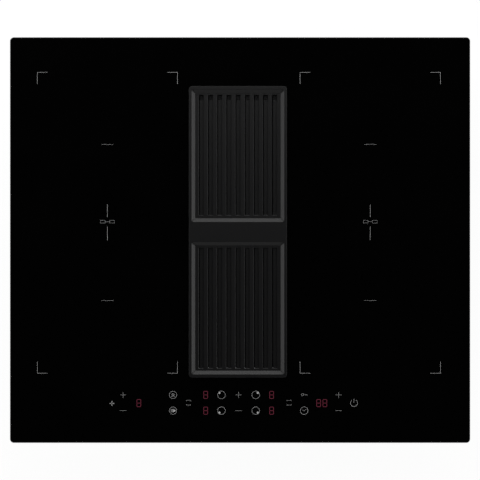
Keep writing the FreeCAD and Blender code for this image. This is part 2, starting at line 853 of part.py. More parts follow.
def make_inlet_frame():
    body = new_body("inlet_frame")
    flange = octagon("inlet_x", "inlet_y", "flange_width", "flange_depth", "cover_corner")
    pad(body, [flange], "flange_bottom", "flange_top")
    skirt = octagon("inlet_x", "inlet_y", "skirt_width", "skirt_depth", "frame_corner")
    pad(body, [skirt], "frame_bottom", "flange_bottom")
    throat = octagon("inlet_x", "inlet_y", "throat_width", "throat_depth", "frame_corner")
    cut(body, [throat], "filter_bottom", "flange_top")
    window = [f"throat_{side} - 2 * ledge_width" for side in ("width", "depth")]
    cut(body, [rectangle("inlet_x", "inlet_y", *window)], "frame_bottom", "filter_bottom")


def make_inlet_gasket():
    body = new_body("inlet_gasket")
    outer = octagon("inlet_x", "inlet_y", "flange_width", "flange_depth", "cover_corner")
    inner = octagon("inlet_x", "inlet_y", "cutout_width", "cutout_depth", "frame_corner")
    pad(body, [outer, inner], "glass_face", "flange_bottom")


def make_grease_filter():
    """Cassette of bent sheet that holds layers of expanded metal, with a bar to lift it by."""
    frame = new_body("filter_frame")
    outer = octagon("inlet_x", "inlet_y", "filter_width", "filter_depth", "frame_corner")
    channel = [f"filter_{side} - 2 * filter_sheet" for side in ("width", "depth")]
    lips = [f"filter_{side} - 2 * filter_lip" for side in ("width", "depth")]
    low, high = "(filter_bottom + filter_sheet)", "(filter_top - filter_sheet)"
    window = rectangle("inlet_x", "inlet_y", *lips)
    pad(frame, [outer, window], "filter_bottom", low)
    pad(frame, [outer, octagon("inlet_x", "inlet_y", *channel, "frame_corner")], low, high)
    pad(frame, [outer, window], high, "filter_top")
    layers = new_body("filter_mesh")
    sides = [f"{text} - 2 * mesh_gap" for text in channel]
    pad(layers, [octagon("inlet_x", "inlet_y", *sides, "frame_corner")], low, f"{high} - mesh_gap")
    block("filter_handle", "inlet_x", "inlet_y", lips[0], "handle_depth", f"{high} - mesh_gap", "filter_top")


def make_drip_tray():
    body = new_body("drip_tray")

    def outline(inset):
        sides = [f"tray_{side} - 2 * {inset}" for side in ("width", "depth")]
        return octagon("inlet_x", "inlet_y", *sides, "tray_corner")

    floor = "housing_wall + tray_wall"
    loft(body, "Additive", outline("tray_draft"), "housing_wall", outline("0"), "tray_top")
    inner = [outline("(tray_draft + tray_wall)"), outline("tray_wall")]
    loft(body, "Subtractive", inner[0], floor, inner[1], "tray_top")
    for along in ROWS.values():
        middle = f"inlet_y {along} (tray_depth - tray_wall) / 2"
        tab = rectangle("inlet_x", middle, "tab_width", "tray_wall")
        pad(body, [tab], "tray_top", "tray_top + tab_height")


# Blower housing, deck, duct and outlet


def chamber(grow):
    """Outline of the duct round the inlet frame."""
    sides = [f"collar_{side} + 2 * {grow}" for side in ("width", "depth")]
    return octagon("inlet_x", "inlet_y", *sides, "frame_corner")


def plenum(grow):
    """Outline of the duct over the volute, from the middle of the inlet to the right-hand wall."""
    right = f"volute_right + {grow}"
    front, back = f"volute_front - {grow}", f"volute_back + {grow}"
    return polygon([("inlet_x", front), (right, front), (right, back), ("inlet_x", back)])


def sump(grow):
    """Outline of the well that holds the drip tray."""
    sides = [f"sump_{side} + 2 * {grow}" for side in ("width", "depth")]
    return octagon("inlet_x", "inlet_y", *sides, "housing_corner")


RIM = "(housing_wall + rim_width)"


def make_blower_housing():
    body = new_body("blower_housing")
    for outline in (sump, volute, diffuser):
        pad(body, [outline("housing_wall")], "0", "housing_split")
    face = "inlet_x - sump_width / 2 - housing_wall - rib_depth / 2"
    first = "inlet_y - rib_pitch * (rib_count - 1) / 2"
    rib = pad(
        body,
        [rectangle(face, first, "rib_depth", "housing_wall")],
        "0",
        "housing_split - housing_wall",
    )
    row_of(body, rib, "V_Axis", "rib_count", "rib_pitch")
    for outline in (chamber, plenum, diffuser):
        pad(body, [outline(RIM)], "housing_split - housing_wall", "housing_split")
    for outline in (sump, volute, diffuser):
        cut(body, [outline("0")], "housing_wall", "housing_split")


def make_blower_deck():
    """Plate over the volute, with the fan's bell mouth moulded in it."""
    body = new_body("blower_deck")
    for outline in (chamber, plenum, diffuser):
        pad(body, [outline(RIM)], "housing_split", "deck_top")
    pad(body, [circle("fan_x", "fan_y", "eye_radius + eye_wall")], "housing_split - eye_lip", "housing_split")
    cut(body, [sump("0")], "housing_split", "deck_top")
    cut(body, [circle("fan_x", "fan_y", "eye_radius")], "housing_split - eye_lip", "deck_top")


def make_suction_duct():
    """Duct from the inlet frame down to the sump and across to the fan's bell mouth."""
    body = new_body("suction_duct")
    foot, head = "deck_top + housing_wall", "housing_height - housing_wall"
    pad(body, [chamber("housing_wall")], "deck_top", "collar_top")
    pad(body, [plenum("housing_wall")], "deck_top", "housing_height")
    for outline in (chamber, plenum):
        pad(body, [outline(RIM)], "deck_top", foot)
        pad(body, [outline(RIM)], head, "housing_height")
    cut(body, [plenum("0")], "deck_top", head)
    cut(body, [chamber("0")], "deck_top", "collar_top")


def make_outlet_spigot():
    """Flange and spigot that a 220 x 90 flat duct slides over."""
    body = new_body("outlet_spigot")
    middle = ("outlet_x", "deck_top / 2")
    plate = "outlet_y + flange_plate"
    end = "outlet_y + flange_plate + spigot_length"
    flange = rectangle(*middle, "spigot_width + 2 * spigot_flange", "deck_top")
    pad(body, [flange], "outlet_y", plate, "XZ_Plane")
    pad(body, [rounded(*middle, "spigot_width", "spigot_height", "spigot_corner")], plate, end, "XZ_Plane")
    bore = [f"spigot_{side} - 2 * spigot_wall" for side in ("width", "height")]
    inside = rounded(*middle, *bore, "(spigot_corner - spigot_wall)")
    cut(body, [inside], "outlet_y", end, "XZ_Plane")


def make_housing_screws():
    """Hexagon heads under the rim of the housing."""
    edge = "(housing_wall + rim_width / 2)"
    left = f"inlet_x - collar_width / 2 - {edge}"
    right = f"volute_right + {edge}"
    places = [(left, f"inlet_y + {share} * collar_depth") for share in SIDE_SCREW_SHARES]
    places += [(f"{share} * volute_right", f"volute_front - {edge}") for share in FRONT_SCREW_SHARES]
    places += [(right, f"fan_y {along} impeller_radius") for along in ROWS.values()]
    under = "housing_split - housing_wall"
    heads = []
    for place in places:
        heads.append(prism("screw", 6, (*place, under), "screw_radius", "screw_height", Vector(0, 0, -1)))
    group("housing_screws", heads)


# Impeller and its motor


def make_impeller():
    """Forward-curved wheel: a dome over the motor, a backplate, blades and a shroud ring."""
    body = new_body("impeller")
    dome, roof = "(motor_radius + dome_gap)", "(dome_roof + dome_wall)"
    corners = [
        ("shaft_radius", "hub_top"),
        ("hub_radius", "hub_top"),
        ("hub_radius", roof),
        (f"{dome} + dome_wall", roof),
        (f"{dome} + dome_wall", "impeller_low + backplate"),
        ("impeller_radius", "impeller_low + backplate"),
        ("impeller_radius", "impeller_low"),
        (dome, "impeller_low"),
        (dome, "dome_roof"),
        ("shaft_radius", "dome_roof"),
    ]
    turn(body, corners)
    one = pad(body, [blade()], "impeller_low + backplate", "impeller_high")
    ring_of(body, one, "blade_count")
    rings = [circle("0", "0", "impeller_radius"), circle("0", "0", "impeller_radius - shroud_wall")]
    pad(body, rings, "impeller_high - shroud_height", "impeller_high")
    stand_at(body, "fan_x", "fan_y")
    prism("impeller_nut", 6, ("fan_x", "fan_y", "hub_top"), "nut_radius", "nut_height")


def make_motor():
    stator = new_body("motor_stator")
    seat = "motor_low + motor_base"
    pad(stator, [circle("fan_x", "fan_y", "motor_radius")], "motor_low", "motor_high")
    cut(stator, [circle("fan_x", "fan_y", "shaft_radius + shaft_fit")], seat, "motor_high")
    shaft = new_body("motor_shaft")
    pad(shaft, [circle("fan_x", "fan_y", "shaft_radius")], seat, "hub_top")


def make_motor_bracket():
    """Plate with three arms, each on a rubber grommet under a screw."""
    body = new_body("motor_bracket")
    corners, grommets, heads = [], [], []
    for arm in (0, 120, 240):
        for side in SIDES.values():
            angle = f"({arm} {side} bracket_half_angle)"
            corners.append((f"fan_x + bracket_reach * cos{angle}", f"fan_y + bracket_reach * sin{angle}"))
        place = (f"fan_x + bracket_radius * cos({arm})", f"fan_y + bracket_radius * sin({arm})")
        grommets.append(prism("grommet", 8, (*place, "housing_wall"), "grommet_radius", "grommet_height"))
        heads.append(prism("screw", 6, (*place, "motor_low"), "screw_radius", "screw_height"))
    pad(body, [polygon(corners)], "bracket_low", "motor_low")
    group("motor_grommets", grommets)
    group("bracket_screws", heads)


# Induction coils and what carries them


def zones():
    """Centre and name of each of the four coils."""
    for side, across in SIDES.items():
        for row, along in ROWS.items():
            yield f"zone_shift {across} zone_x", f"zone_y {along} coil_pitch / 2", f"{row}_{side}"


def ferrite_bar(x, y, angle):
    """Bar that lies along a ray from a coil's centre."""
    bar = block("bar", x, y, "ferrite_length", "ferrite_width", "plate_top", "ferrite_top")
    start = "(coil_width / 2 - ferrite_length)"
    bar.Placement = Placement(Vector(), Rotation(Vector(0, 0, 1), angle))
    base = {
        "Placement.Base.x": f"{x} + {start} * cos({angle}) + ferrite_width / 2 * sin({angle})",
        "Placement.Base.y": f"{y} + {start} * sin({angle}) - ferrite_width / 2 * cos({angle})",
        "Placement.Base.z": "plate_top",
    }
    bind(bar, base)
    return bar


def make_coils():
    formers, ferrites, sensors = [], [], []
    for x, y, name in zones():
        coil = new_body("coil_" + name)
        outer = octagon(x, y, "coil_width", "coil_depth", "coil_corner")
        eye = octagon(x, y, "coil_eye", "coil_eye", "coil_eye / 4")
        pad(coil, [outer, eye], "former_top", "coil_top")
        former = new_body("former_" + name)
        sides = [f"coil_{side} + 2 * former_rim" for side in ("width", "depth")]
        pad(former, [octagon(x, y, *sides, "coil_corner")], "ferrite_top", "former_top")
        formers.append(former)
        ferrites += [ferrite_bar(x, y, angle) for angle in range(0, 360, 45)]
        sensors.append(prism("sensor", 6, (x, y, "former_top"), "sensor_radius", "coil_height"))
    group("coil_formers", formers)
    group("ferrite_bars", ferrites)
    group("coil_sensors", sensors)


def make_coil_plates():
    """Aluminium plates that carry the coils, the mica sheets over them, and the plates' posts."""
    posts = []
    for side, across in SIDES.items():
        x = f"zone_shift {across} zone_x"
        block("mica_sheet_" + side, x, "zone_y", "mica_width", "mica_depth", "coil_top", "glass_bottom")
        plate = new_body("coil_plate_" + side)
        outlines = [rectangle(x, "zone_y", "mica_width", "mica_depth")]
        for along in ROWS.values():
            outlines.append(rectangle(x, f"zone_y {along} coil_pitch / 2", "plate_window", "plate_window"))
        pad(plate, outlines, "plate_bottom", "plate_top")
        for across_plate in SIDES.values():
            for along in ROWS.values():
                place_x = f"{x} {across_plate} (mica_width / 2 - post_inset)"
                place_y = f"zone_y {along} (mica_depth / 2 - post_inset)"
                base = (place_x, place_y, "casing_floor")
                posts.append(prism("post", 6, base, "post_radius", "plate_bottom - casing_floor"))
    group("plate_posts", posts)


# Power boards and cooling fans


def make_power_boards():
    spacers, capacitors = [], []
    for side, across in SIDES.items():
        x = f"zone_shift {across} zone_x"
        block("power_board_" + side, x, "board_y", "board_width", "board_depth", "board_bottom", "board_top")
        for across_board in SIDES.values():
            for along in ROWS.values():
                place_x = f"{x} {across_board} (board_width / 2 - spacer_inset)"
                place_y = f"board_y {along} (board_depth / 2 - spacer_inset)"
                base = (place_x, place_y, "casing_floor")
                spacers.append(prism("spacer", 6, base, "spacer_radius", "board_lift"))
        inward = SIDES["right" if side == "left" else "left"]
        for place in (-1.5, -0.5, 0.5, 1.5):
            middle = (f"{x} {inward} board_width / 4", f"board_y + {place} * capacitor_pitch")
            size = ("capacitor_width", "capacitor_depth", "board_top", "board_top + capacitor_height")
            capacitors.append(block("capacitor", *middle, *size))
    group("board_spacers", spacers)
    group("film_capacitors", capacitors)


def make_heat_sinks():
    for side, across in SIDES.items():
        sink = new_body("heat_sink_" + side)
        x = f"zone_shift {across} zone_x {across} (board_width - sink_width) / 2"
        top = "board_top + sink_height"
        pad(sink, [rectangle(x, "board_y", "sink_width", "sink_depth")], "board_top", top)
        gap = "((sink_width - fin_count * fin_thickness) / (fin_count - 1))"
        first = f"{x} - sink_width / 2 + fin_thickness + {gap} / 2"
        groove = rectangle(first, "board_y", gap, "sink_depth + 2 * overrun")
        one = cut(sink, [groove], "board_top + sink_base", top)
        row_of(sink, one, "H_Axis", "fin_count - 1", f"{gap} + fin_thickness")


def make_cooling_frames():
    """Square fan frames, each with a cross of struts that carries the rotor's pin."""
    frames = []
    for side, across in SIDES.items():
        frame = new_body("cooling_frame_" + side)
        x = f"zone_shift {across} zone_x"
        web = "casing_floor + cooler_web"
        square = rectangle(x, "cooler_y", "cooler_size", "cooler_size")
        pad(frame, [square, circle(x, "cooler_y", "cooler_bore")], "casing_floor", "cooler_top")
        across_bore = "2 * cooler_bore + cooler_strut"
        pad(frame, [rectangle(x, "cooler_y", across_bore, "cooler_strut")], "casing_floor", web)
        pad(frame, [rectangle(x, "cooler_y", "cooler_strut", across_bore)], "casing_floor", web)
        tip = "rotor_high - cooler_cap - cooler_gap"
        pad(frame, [circle(x, "cooler_y", "cooler_pin")], web, tip)
        frames.append(frame)
    group("cooling_fan_frames", frames)


def make_cooling_rotors():
    """Capped hubs with flat blades, set at a slant, that stay inside the bore."""
    swing = "fan_blade_swing"
    tip = f"sqrt(pow(cooler_bore - fan_tip_gap; 2) - pow({swing}; 2))"
    corners = [
        (f"-{swing}", "rotor_low"),
        (f"-{swing} + fan_blade_sheet", "rotor_low"),
        (swing, "rotor_high"),
        (f"{swing} - fan_blade_sheet", "rotor_high"),
    ]
    for side, across in SIDES.items():
        rotor = new_body("cooling_rotor_" + side)
        pad(rotor, [circle("0", "0", "cooler_hub")], "rotor_low", "rotor_high")
        one = pad(rotor, [polygon(corners)], "cooler_hub / 2", tip, "YZ_Plane")
        ring_of(rotor, one, "fan_blade_count")
        bore = circle("0", "0", "cooler_pin + shaft_fit")
        cut(rotor, [bore], "rotor_low", "rotor_high - cooler_cap")
        stand_at(rotor, f"zone_shift {across} zone_x", "cooler_y")


# Touch controls


def make_touch_panel():
    """Moulded tray under the front of the glass, with its board, displays and sensor pads."""
    tray = new_body("touch_carrier")
    pad(tray, [rectangle("panel_x", "panel_y", "panel_width", "panel_depth")], "panel_bottom", "glass_bottom")
    inner = [f"panel_{side} - 2 * panel_wall" for side in ("width", "depth")]
    cut(tray, [rectangle("panel_x", "panel_y", *inner)], "panel_floor", "glass_bottom")
    board = [f"{text} - 2 * panel_fit" for text in inner]
    block("touch_board", "panel_x", "panel_y", *board, "panel_floor", "panel_board_top")
    displays, keys = [], []
    for across, along, digits in DISPLAY_SHARES:
        place = (f"panel_x + {across} * panel_width", f"panel_y + {along} * panel_depth")
        size = (f"{digits} * digit_width", "digit_depth", "panel_board_top", "glass_bottom - panel_fit")
        displays.append(block("display", *place, *size))
    for across, along in KEY_SHARES:
        place = (f"panel_x + {across} * panel_width", f"panel_y + {along} * panel_depth")
        keys.append(block("key", *place, "touch_pad", "touch_pad", "panel_board_top", "glass_bottom"))
    group("digit_displays", displays)
    group("touch_pads", keys)


# Mains terminal box and blower driver


def make_terminal_box():
    outline = rectangle("terminal_x", "terminal_y", "terminal_width", "terminal_depth")
    lid_top, roof = "terminal_low + terminal_wall", "housing_height - terminal_wall"
    lid = new_body("terminal_lid")
    pad(lid, [outline], "terminal_low", lid_top)
    box = new_body("terminal_box")
    pad(box, [outline], lid_top, "housing_height")
    inner = [f"terminal_{side} - 2 * terminal_wall" for side in ("width", "depth")]
    cut(box, [rectangle("terminal_x", "terminal_y", *inner)], lid_top, roof)
    middle = ("terminal_x", "(terminal_low + housing_height) / 2")
    bore = circle(*middle, "gland_bore")
    cut(box, [bore], "terminal_back - terminal_wall", "terminal_back", "XZ_Plane")
    x, z = middle
    corners = [
        (f"{x} + gland_radius * cos({angle})", f"{z} + gland_radius * sin({angle})")
        for angle in range(0, 360, 60)
    ]
    gland = new_body("cable_gland")
    pad(gland, [polygon(corners), bore], "terminal_back", "terminal_back + gland_length", "XZ_Plane")
    place = ("terminal_x", "terminal_y - block_depth / 2")
    block("terminal_block", *place, "block_width", "block_depth", f"{roof} - block_height", roof)


def make_fan_driver():
    size = ("driver_x", "driver_y", "driver_width", "driver_depth")
    block("fan_driver_box", *size, "driver_lift + driver_lid", "driver_top")
    block("fan_driver_lid", *size, "driver_lift", "driver_lift + driver_lid")


def finished():
    """The sub-parts: the shapes that no group uses."""
    kinds = ("PartDesign::Body", "Part::Box", "Part::Prism", "Part::Compound")
    found = [item for item in doc.Objects if item.TypeId in kinds]
    return [item for item in found if not any(user.TypeId == "Part::Compound" for user in item.InList)]


def check():
    for item in doc.Objects:
        if "Invalid" in item.State or "Error" in item.State:
            raise ValueError(f"{item.Label} failed: {item.State}")
    for item in finished():
        if item.Shape.isNull() or not item.Shape.isValid() or not item.Shape.Solids:
            raise ValueError(f"{item.Label} has no valid solid")


def write():
    os.makedirs("parts", exist_ok=True)
    for item in finished():
        item.Shape.exportStep(f"parts/{item.Label}.step")


def main():
    fill_sheet()
    make_glass_top()
    make_seal_tape()
    make_casing_tray()
    make_angle_frame()
    make_side_clips()
    make_casing_screws()
    make_vent_cover()
    make_cover_pads()
    make_inlet_frame()
    make_inlet_gasket()
    make_grease_filter()
    make_drip_tray()
    make_blower_housing()
    make_blower_deck()
    make_suction_duct()
    make_outlet_spigot()
    make_housing_screws()
    make_impeller()
    make_motor()
    make_motor_bracket()
    make_coils()
    make_coil_plates()
    make_power_boards()
    make_heat_sinks()
    make_cooling_frames()
    make_cooling_rotors()
    make_touch_panel()
    make_terminal_box()
    make_fan_driver()
    doc.recompute()
    check()
    write()


main()
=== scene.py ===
import math

import bmesh
import bpy
import numpy as np
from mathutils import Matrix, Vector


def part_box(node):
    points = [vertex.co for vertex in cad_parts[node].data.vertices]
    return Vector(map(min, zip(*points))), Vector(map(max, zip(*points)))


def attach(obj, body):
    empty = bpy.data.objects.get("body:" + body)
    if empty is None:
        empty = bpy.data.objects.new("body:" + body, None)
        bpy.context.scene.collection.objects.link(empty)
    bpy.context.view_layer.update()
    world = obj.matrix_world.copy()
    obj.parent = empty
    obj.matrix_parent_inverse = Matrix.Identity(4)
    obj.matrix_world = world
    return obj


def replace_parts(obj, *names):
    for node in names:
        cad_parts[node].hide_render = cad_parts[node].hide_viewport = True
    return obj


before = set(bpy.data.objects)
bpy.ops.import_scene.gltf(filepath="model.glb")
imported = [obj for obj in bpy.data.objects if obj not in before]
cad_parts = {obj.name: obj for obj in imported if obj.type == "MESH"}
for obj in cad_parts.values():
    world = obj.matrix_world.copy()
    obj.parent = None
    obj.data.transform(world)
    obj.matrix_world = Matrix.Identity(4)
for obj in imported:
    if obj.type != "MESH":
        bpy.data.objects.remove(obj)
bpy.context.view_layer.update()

# Blower housing, its deck, the duct and the spigot
# Dark shells of glass-filled polypropylene, injection moulded in spark-eroded tools and screwed
# together round the fan. The tool leaves a fine even grain that breaks up the gloss.


def linear(code):
    """sRGB hex to linear colour: c / 12.92 below 0.04045, else ((c + 0.055) / 1.055) to the 2.4."""
    srgb = np.array([int(code[i : i + 2], 16) for i in (1, 3, 5)]) / 255
    low, high = srgb / 12.92, ((srgb + 0.055) / 1.055) ** 2.4
    return (*np.where(srgb < 0.04045, low, high), 1.0)


def add(tree, kind, inputs=(), **settings):
    """Adds a node with its settings; an input given as a socket is linked, any other is its value.

    A Mix node's sockets go by number: 0 is its share, 2 and 3 its numbers, 6 and 7 its colours.
    """
    node = tree.nodes.new("ShaderNode" + kind)
    for name, value in settings.items():
        setattr(node, name, value)
    for key, value in dict(inputs).items():
        if isinstance(value, bpy.types.NodeSocket):
            tree.links.new(value, node.inputs[key])
        else:
            node.inputs[key].default_value = value
    return node


def start(name, **plain):
    """A material whose shader has these plain values; returns it, its tree, shader and place."""
    material = bpy.data.materials.new(name)
    material.use_nodes = True
    tree = material.node_tree
    shader = tree.nodes["Principled BSDF"]
    for key, value in plain.items():
        shader.inputs[key.replace("_", " ")].default_value = value
    return material, tree, shader, add(tree, "TexCoord").outputs["Object"]


def per(size):
    """Scale of a pattern whose features are so many millimetres apart: 1000 over the size."""
    return 1000 / size


def surface(tree, shader, tone, dark, light, smooth, rough, relief=None, depth=0.0):
    """Drives a shader by patterns that run from 0 to 1.

    The tone takes the colour from dark to light and the roughness from smooth to rough; the
    relief, where there is one, raises the surface by so many millimetres.
    """
    colour = add(tree, "Mix", {0: tone, 6: linear(dark), 7: linear(light)}, data_type="RGBA")
    spread = add(tree, "MapRange", {"Value": tone, "To Min": smooth, "To Max": rough})
    tree.links.new(colour.outputs[2], shader.inputs["Base Color"])
    tree.links.new(spread.outputs[0], shader.inputs["Roughness"])
    if relief is not None:
        bump = add(tree, "Bump", {"Height": relief, "Distance": depth / 1000, "Strength": 1.0})
        tree.links.new(bump.outputs["Normal"], shader.inputs["Normal"])


def moulded(name, dark, light, grain, depth, smooth, rough):
    """Injection-moulded plastic: pits a grain apart, and a 45 mm mottle where the melt flowed."""
    material, tree, shader, place = start(name, IOR=1.49)
    flow = add(tree, "TexNoise", {"Vector": place, "Scale": per(45), "Detail": 3.0}).outputs["Fac"]
    pits = add(tree, "TexNoise", {"Vector": place, "Scale": per(grain), "Detail": 2.0})
    pits = pits.outputs["Fac"]
    both = add(tree, "Mix", {0: 0.45, 2: flow, 3: pits}).outputs[0]
    surface(tree, shader, both, dark, light, smooth, rough, pits, depth)
    return material


def dress(material, *names):
    """Puts a finish on CAD nodes in place of the plain one."""
    for name in names:
        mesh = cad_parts[name].data
        mesh.materials.clear()
        mesh.materials.append(material)


def soften(size, *names):
    """Rounds the edges of CAD nodes by so many millimetres."""
    for name in names:
        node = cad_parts[name]
        weld = node.modifiers.new("weld", "WELD")
        weld.merge_threshold = 1e-6
        rounding = node.modifiers.new("rounding", "BEVEL")
        rounding.width = size / 1000
        rounding.segments = 2
        rounding.limit_method = "ANGLE"
        rounding.angle_limit = math.radians(35)
        rounding.use_clamp_overlap = True


polypropylene = moulded("moulded_polypropylene", "#26272a", "#33353a",
                        grain=0.9, depth=0.05, smooth=0.5, rough=0.66)
dress(polypropylene, "blower_housing", "blower_deck", "suction_duct", "outlet_spigot")
soften(0.6, "blower_housing", "suction_duct", "outlet_spigot", "blower_deck")

# Fan wheel and the two cooling rotors
# Forward-curved wheel and small axial rotors in grey glass-filled polyamide, each moulded in one
# shot and balanced. The glass in it leaves a satin skin, paler and finer than the housing's.
polyamide = moulded("moulded_polyamide", "#55585c", "#6a6d72",
                    grain=0.7, depth=0.03, smooth=0.4, rough=0.55)
dress(polyamide, "impeller", "cooling_rotor_left", "cooling_rotor_right")

# Motor, its bracket and grommets
# Outer-rotor motor: a drawn steel can on a ground shaft, on a pressed bracket that rests on rubber.
# The can shows its draw marks as fine rings, and the shaft is a dull mirror.


def rolled(name, dark, light, pitch, stretch, smooth, rough):
    """Rolled or drawn metal: streaks a pitch apart, drawn out along the axes of small stretch."""
    material, tree, shader, place = start(name, Metallic=1.0)
    along = add(tree, "Mapping", {"Vector": place, "Scale": stretch}).outputs[0]
    streaks = add(tree, "TexNoise", {"Vector": along, "Scale": per(pitch), "Detail": 4.0})
    streaks = streaks.outputs["Fac"]
    cloud = add(tree, "TexNoise", {"Vector": place, "Scale": per(60), "Detail": 2.0}).outputs["Fac"]
    both = add(tree, "Mix", {0: 0.35, 2: streaks, 3: cloud}).outputs[0]
    surface(tree, shader, both, dark, light, smooth, rough, relief=streaks, depth=0.01)
    return material


can_steel = rolled("drawn_steel_can", "#9a9ca0", "#c4c6c9",
                   pitch=0.8, stretch=(0.05, 0.05, 1), smooth=0.3, rough=0.45)
dress(can_steel, "motor_stator", "motor_bracket")
shaft_steel = rolled("ground_steel", "#b9bbbe", "#d8dadc",
                     pitch=0.4, stretch=(0.1, 0.1, 1), smooth=0.16, rough=0.28)
dress(shaft_steel, "motor_shaft", "impeller_nut")


def elastic(name, dark, light, cell, depth):
    """Rubber or foam: matt, with pits a cell apart, a 12 mm bloom and a soft sheen at its edges."""
    material, tree, shader, place = start(name, IOR=1.52, Sheen_Weight=0.15, Sheen_Roughness=0.6)
    pits = add(tree, "TexVoronoi", {"Vector": place, "Scale": per(cell)}).outputs["Distance"]
    bloom = add(tree, "TexNoise", {"Vector": place, "Scale": per(12), "Detail": 3.0}).outputs["Fac"]
    both = add(tree, "Mix", {0: 0.5, 2: bloom, 3: pits}).outputs[0]
    surface(tree, shader, both, dark, light, smooth=0.7, rough=0.9, relief=pits, depth=depth)
    return material


rubber = elastic("nitrile_rubber", "#161616", "#242424", cell=0.8, depth=0.03)
dress(rubber, "motor_grommets", "inlet_gasket", "cover_pads")

# Screws of the motor bracket, the housing and the casing
# Cold-headed pan heads of zinc-plated steel, 6.4 mm across, with a cross recess, driven home on
# their seats. The bright zinc gives small, slightly clouded glints.
SCREW_RADIUS, SCREW_HEIGHT, RECESS = 3.2, 2.0, 1.1
RECESS_HALF_WIDE, RECESS_REACH, HEAD_POINTS = 0.07, 0.55, 17
SMOOTH_BELOW = 40
BRACKET_LEVEL, RIM_UNDERSIDE, WALL_LEVEL, CLIP_LEVEL = 7.5, 89.5, 197.5, 184.0
RIM_LEFT, RIM_RIGHT, RIM_FRONT = -68.7, 275.2, -161.0
WALL_X, WALL_Y, CLIP_X = 278.0, 243.0, 278.8


def new_piece(name, points, faces, material, body, slot):
    """Makes a mesh piece from points in millimetres, with its finish and body; its slot is not
    used.
    """
    mesh = bpy.data.meshes.new(name)
    mesh.from_pydata((np.asarray(points, float) / 1000).tolist(), [], np.asarray(faces).tolist())
    mesh.materials.append(material)
    mesh.update()
    piece = bpy.data.objects.new(name, mesh)
    bpy.context.scene.collection.objects.link(piece)
    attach(piece, body)
    return piece


def close_up(piece):
    """Joins points of a piece that lie within a thousandth of a millimetre."""
    joined = bmesh.new()
    joined.from_mesh(piece.data)
    bmesh.ops.remove_doubles(joined, verts=joined.verts, dist=1e-6)
    joined.to_mesh(piece.data)
    joined.free()


def pan_heads(name, seats, outward):
    """Pan heads on seats in millimetres, all facing one way.

    A square grid (u, v) becomes a disc by x = u sqrt(1 - v v / 2), y = v sqrt(1 - u u / 2); its
    height falls with the sixth power of the radius, less a groove along each axis. A flat copy
    closes it. Widths of the recess are shares of the radius.
    """
    steps = np.linspace(-1, 1, HEAD_POINTS)
    u, v = np.meshgrid(steps, steps, indexing="ij")
    x, y = u * np.sqrt(1 - v**2 / 2), v * np.sqrt(1 - u**2 / 2)
    radius = np.hypot(x, y)
    thin, near = np.abs([u, v]) < RECESS_HALF_WIDE, np.abs([u, v]) < RECESS_REACH
    groove = (thin[0] & near[1]) | (thin[1] & near[0])
    z = SCREW_HEIGHT * (1 - radius**6) - RECESS * groove
    head = np.stack([x * SCREW_RADIUS, y * SCREW_RADIUS, z], axis=-1).reshape(-1, 3)
    index = np.arange(HEAD_POINTS**2).reshape(HEAD_POINTS, HEAD_POINTS)
    quads = np.stack([index[:-1, :-1], index[1:, :-1], index[1:, 1:], index[:-1, 1:]], axis=-1)
    quads = quads.reshape(-1, 4)
    quads = np.concatenate([quads, quads[:, ::-1] + len(head)])
    head = np.concatenate([head, head * (1, 1, 0)])
    n = np.array(outward, float)
    a = np.array((0, 1, 0) if abs(n[0]) > 0.5 else (1, 0, 0), float)
    turned = head @ np.stack([a, np.cross(n, a), n])
    seats = np.array(seats, float)
    points = (seats[:, None, :] + turned[None, :, :]).reshape(-1, 3)
    faces = (quads[None, :, :] + len(head) * np.arange(len(seats))[:, None, None]).reshape(-1, 4)
    piece = new_piece(name, points, faces, zinc_plate, "hob", "screw_steel")
    close_up(piece)
    piece.data.shade_smooth()
    piece.data.set_sharp_from_angle(angle=math.radians(SMOOTH_BELOW))
    return piece


zinc_plate = rolled("zinc_plated_steel", "#a8adb3", "#cdd1d4",
                    pitch=1.5, stretch=(1, 1, 1), smooth=0.28, rough=0.42)
seats = [(x, y, BRACKET_LEVEL) for x, y in ((195.7, -45), (120.7, -1.7), (120.7, -88.3))]
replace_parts(pan_heads("bracket_heads", seats, (0, 0, 1)), "bracket_screws")
seats = [(RIM_LEFT, y, RIM_UNDERSIDE) for y in (-143.55, -40.85, 61.85, 164.55)]
seats += [(x, RIM_FRONT, RIM_UNDERSIDE) for x in (107.48, 174.66, 241.84)]
seats += [(RIM_RIGHT, y, RIM_UNDERSIDE) for y in (-109, 19)]
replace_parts(pan_heads("housing_heads", seats, (0, 0, -1)), "housing_screws")
for side, word in ((-1, "left"), (1, "right")):
    seats = [(side * WALL_X, y, WALL_LEVEL) for y in (-184.68, 0, 184.68)]
    seats += [(side * CLIP_X, y, CLIP_LEVEL) for y in (-150, 150)]
    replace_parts(pan_heads("casing_heads_" + word, seats, (side, 0, 0)), "casing_screws")
for side, word in ((-1, "front"), (1, "back")):
    seats = [(x, side * WALL_Y, WALL_LEVEL) for x in (-211.28, 0, 211.28)]
    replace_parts(pan_heads("casing_heads_" + word, seats, (0, side, 0)), "casing_screws")

# Fan driver, terminal box, posts and spacers
# Closed boxes moulded in grey polyamide, with a black nylon cable nut that is a little glossier.
# The strip in the box, the posts and the spacers are uncoloured polyamide, creamy and waxy.
grey_box = moulded("moulded_grey_polyamide", "#6f7174", "#85878a",
                   grain=0.8, depth=0.03, smooth=0.45, rough=0.6)
dress(grey_box, "fan_driver_box", "fan_driver_lid", "terminal_box", "terminal_lid")
soften(0.8, "fan_driver_box", "terminal_box")
black_nylon = moulded("moulded_black_nylon", "#1d1d1e", "#2a2a2c",
                      grain=0.6, depth=0.02, smooth=0.35, rough=0.5)
dress(black_nylon, "cable_gland")
natural = moulded("moulded_natural_polyamide", "#d3cfbd", "#e4e0d0",
                  grain=1.0, depth=0.02, smooth=0.35, rough=0.5)
dress(natural, "terminal_block", "plate_posts", "board_spacers")

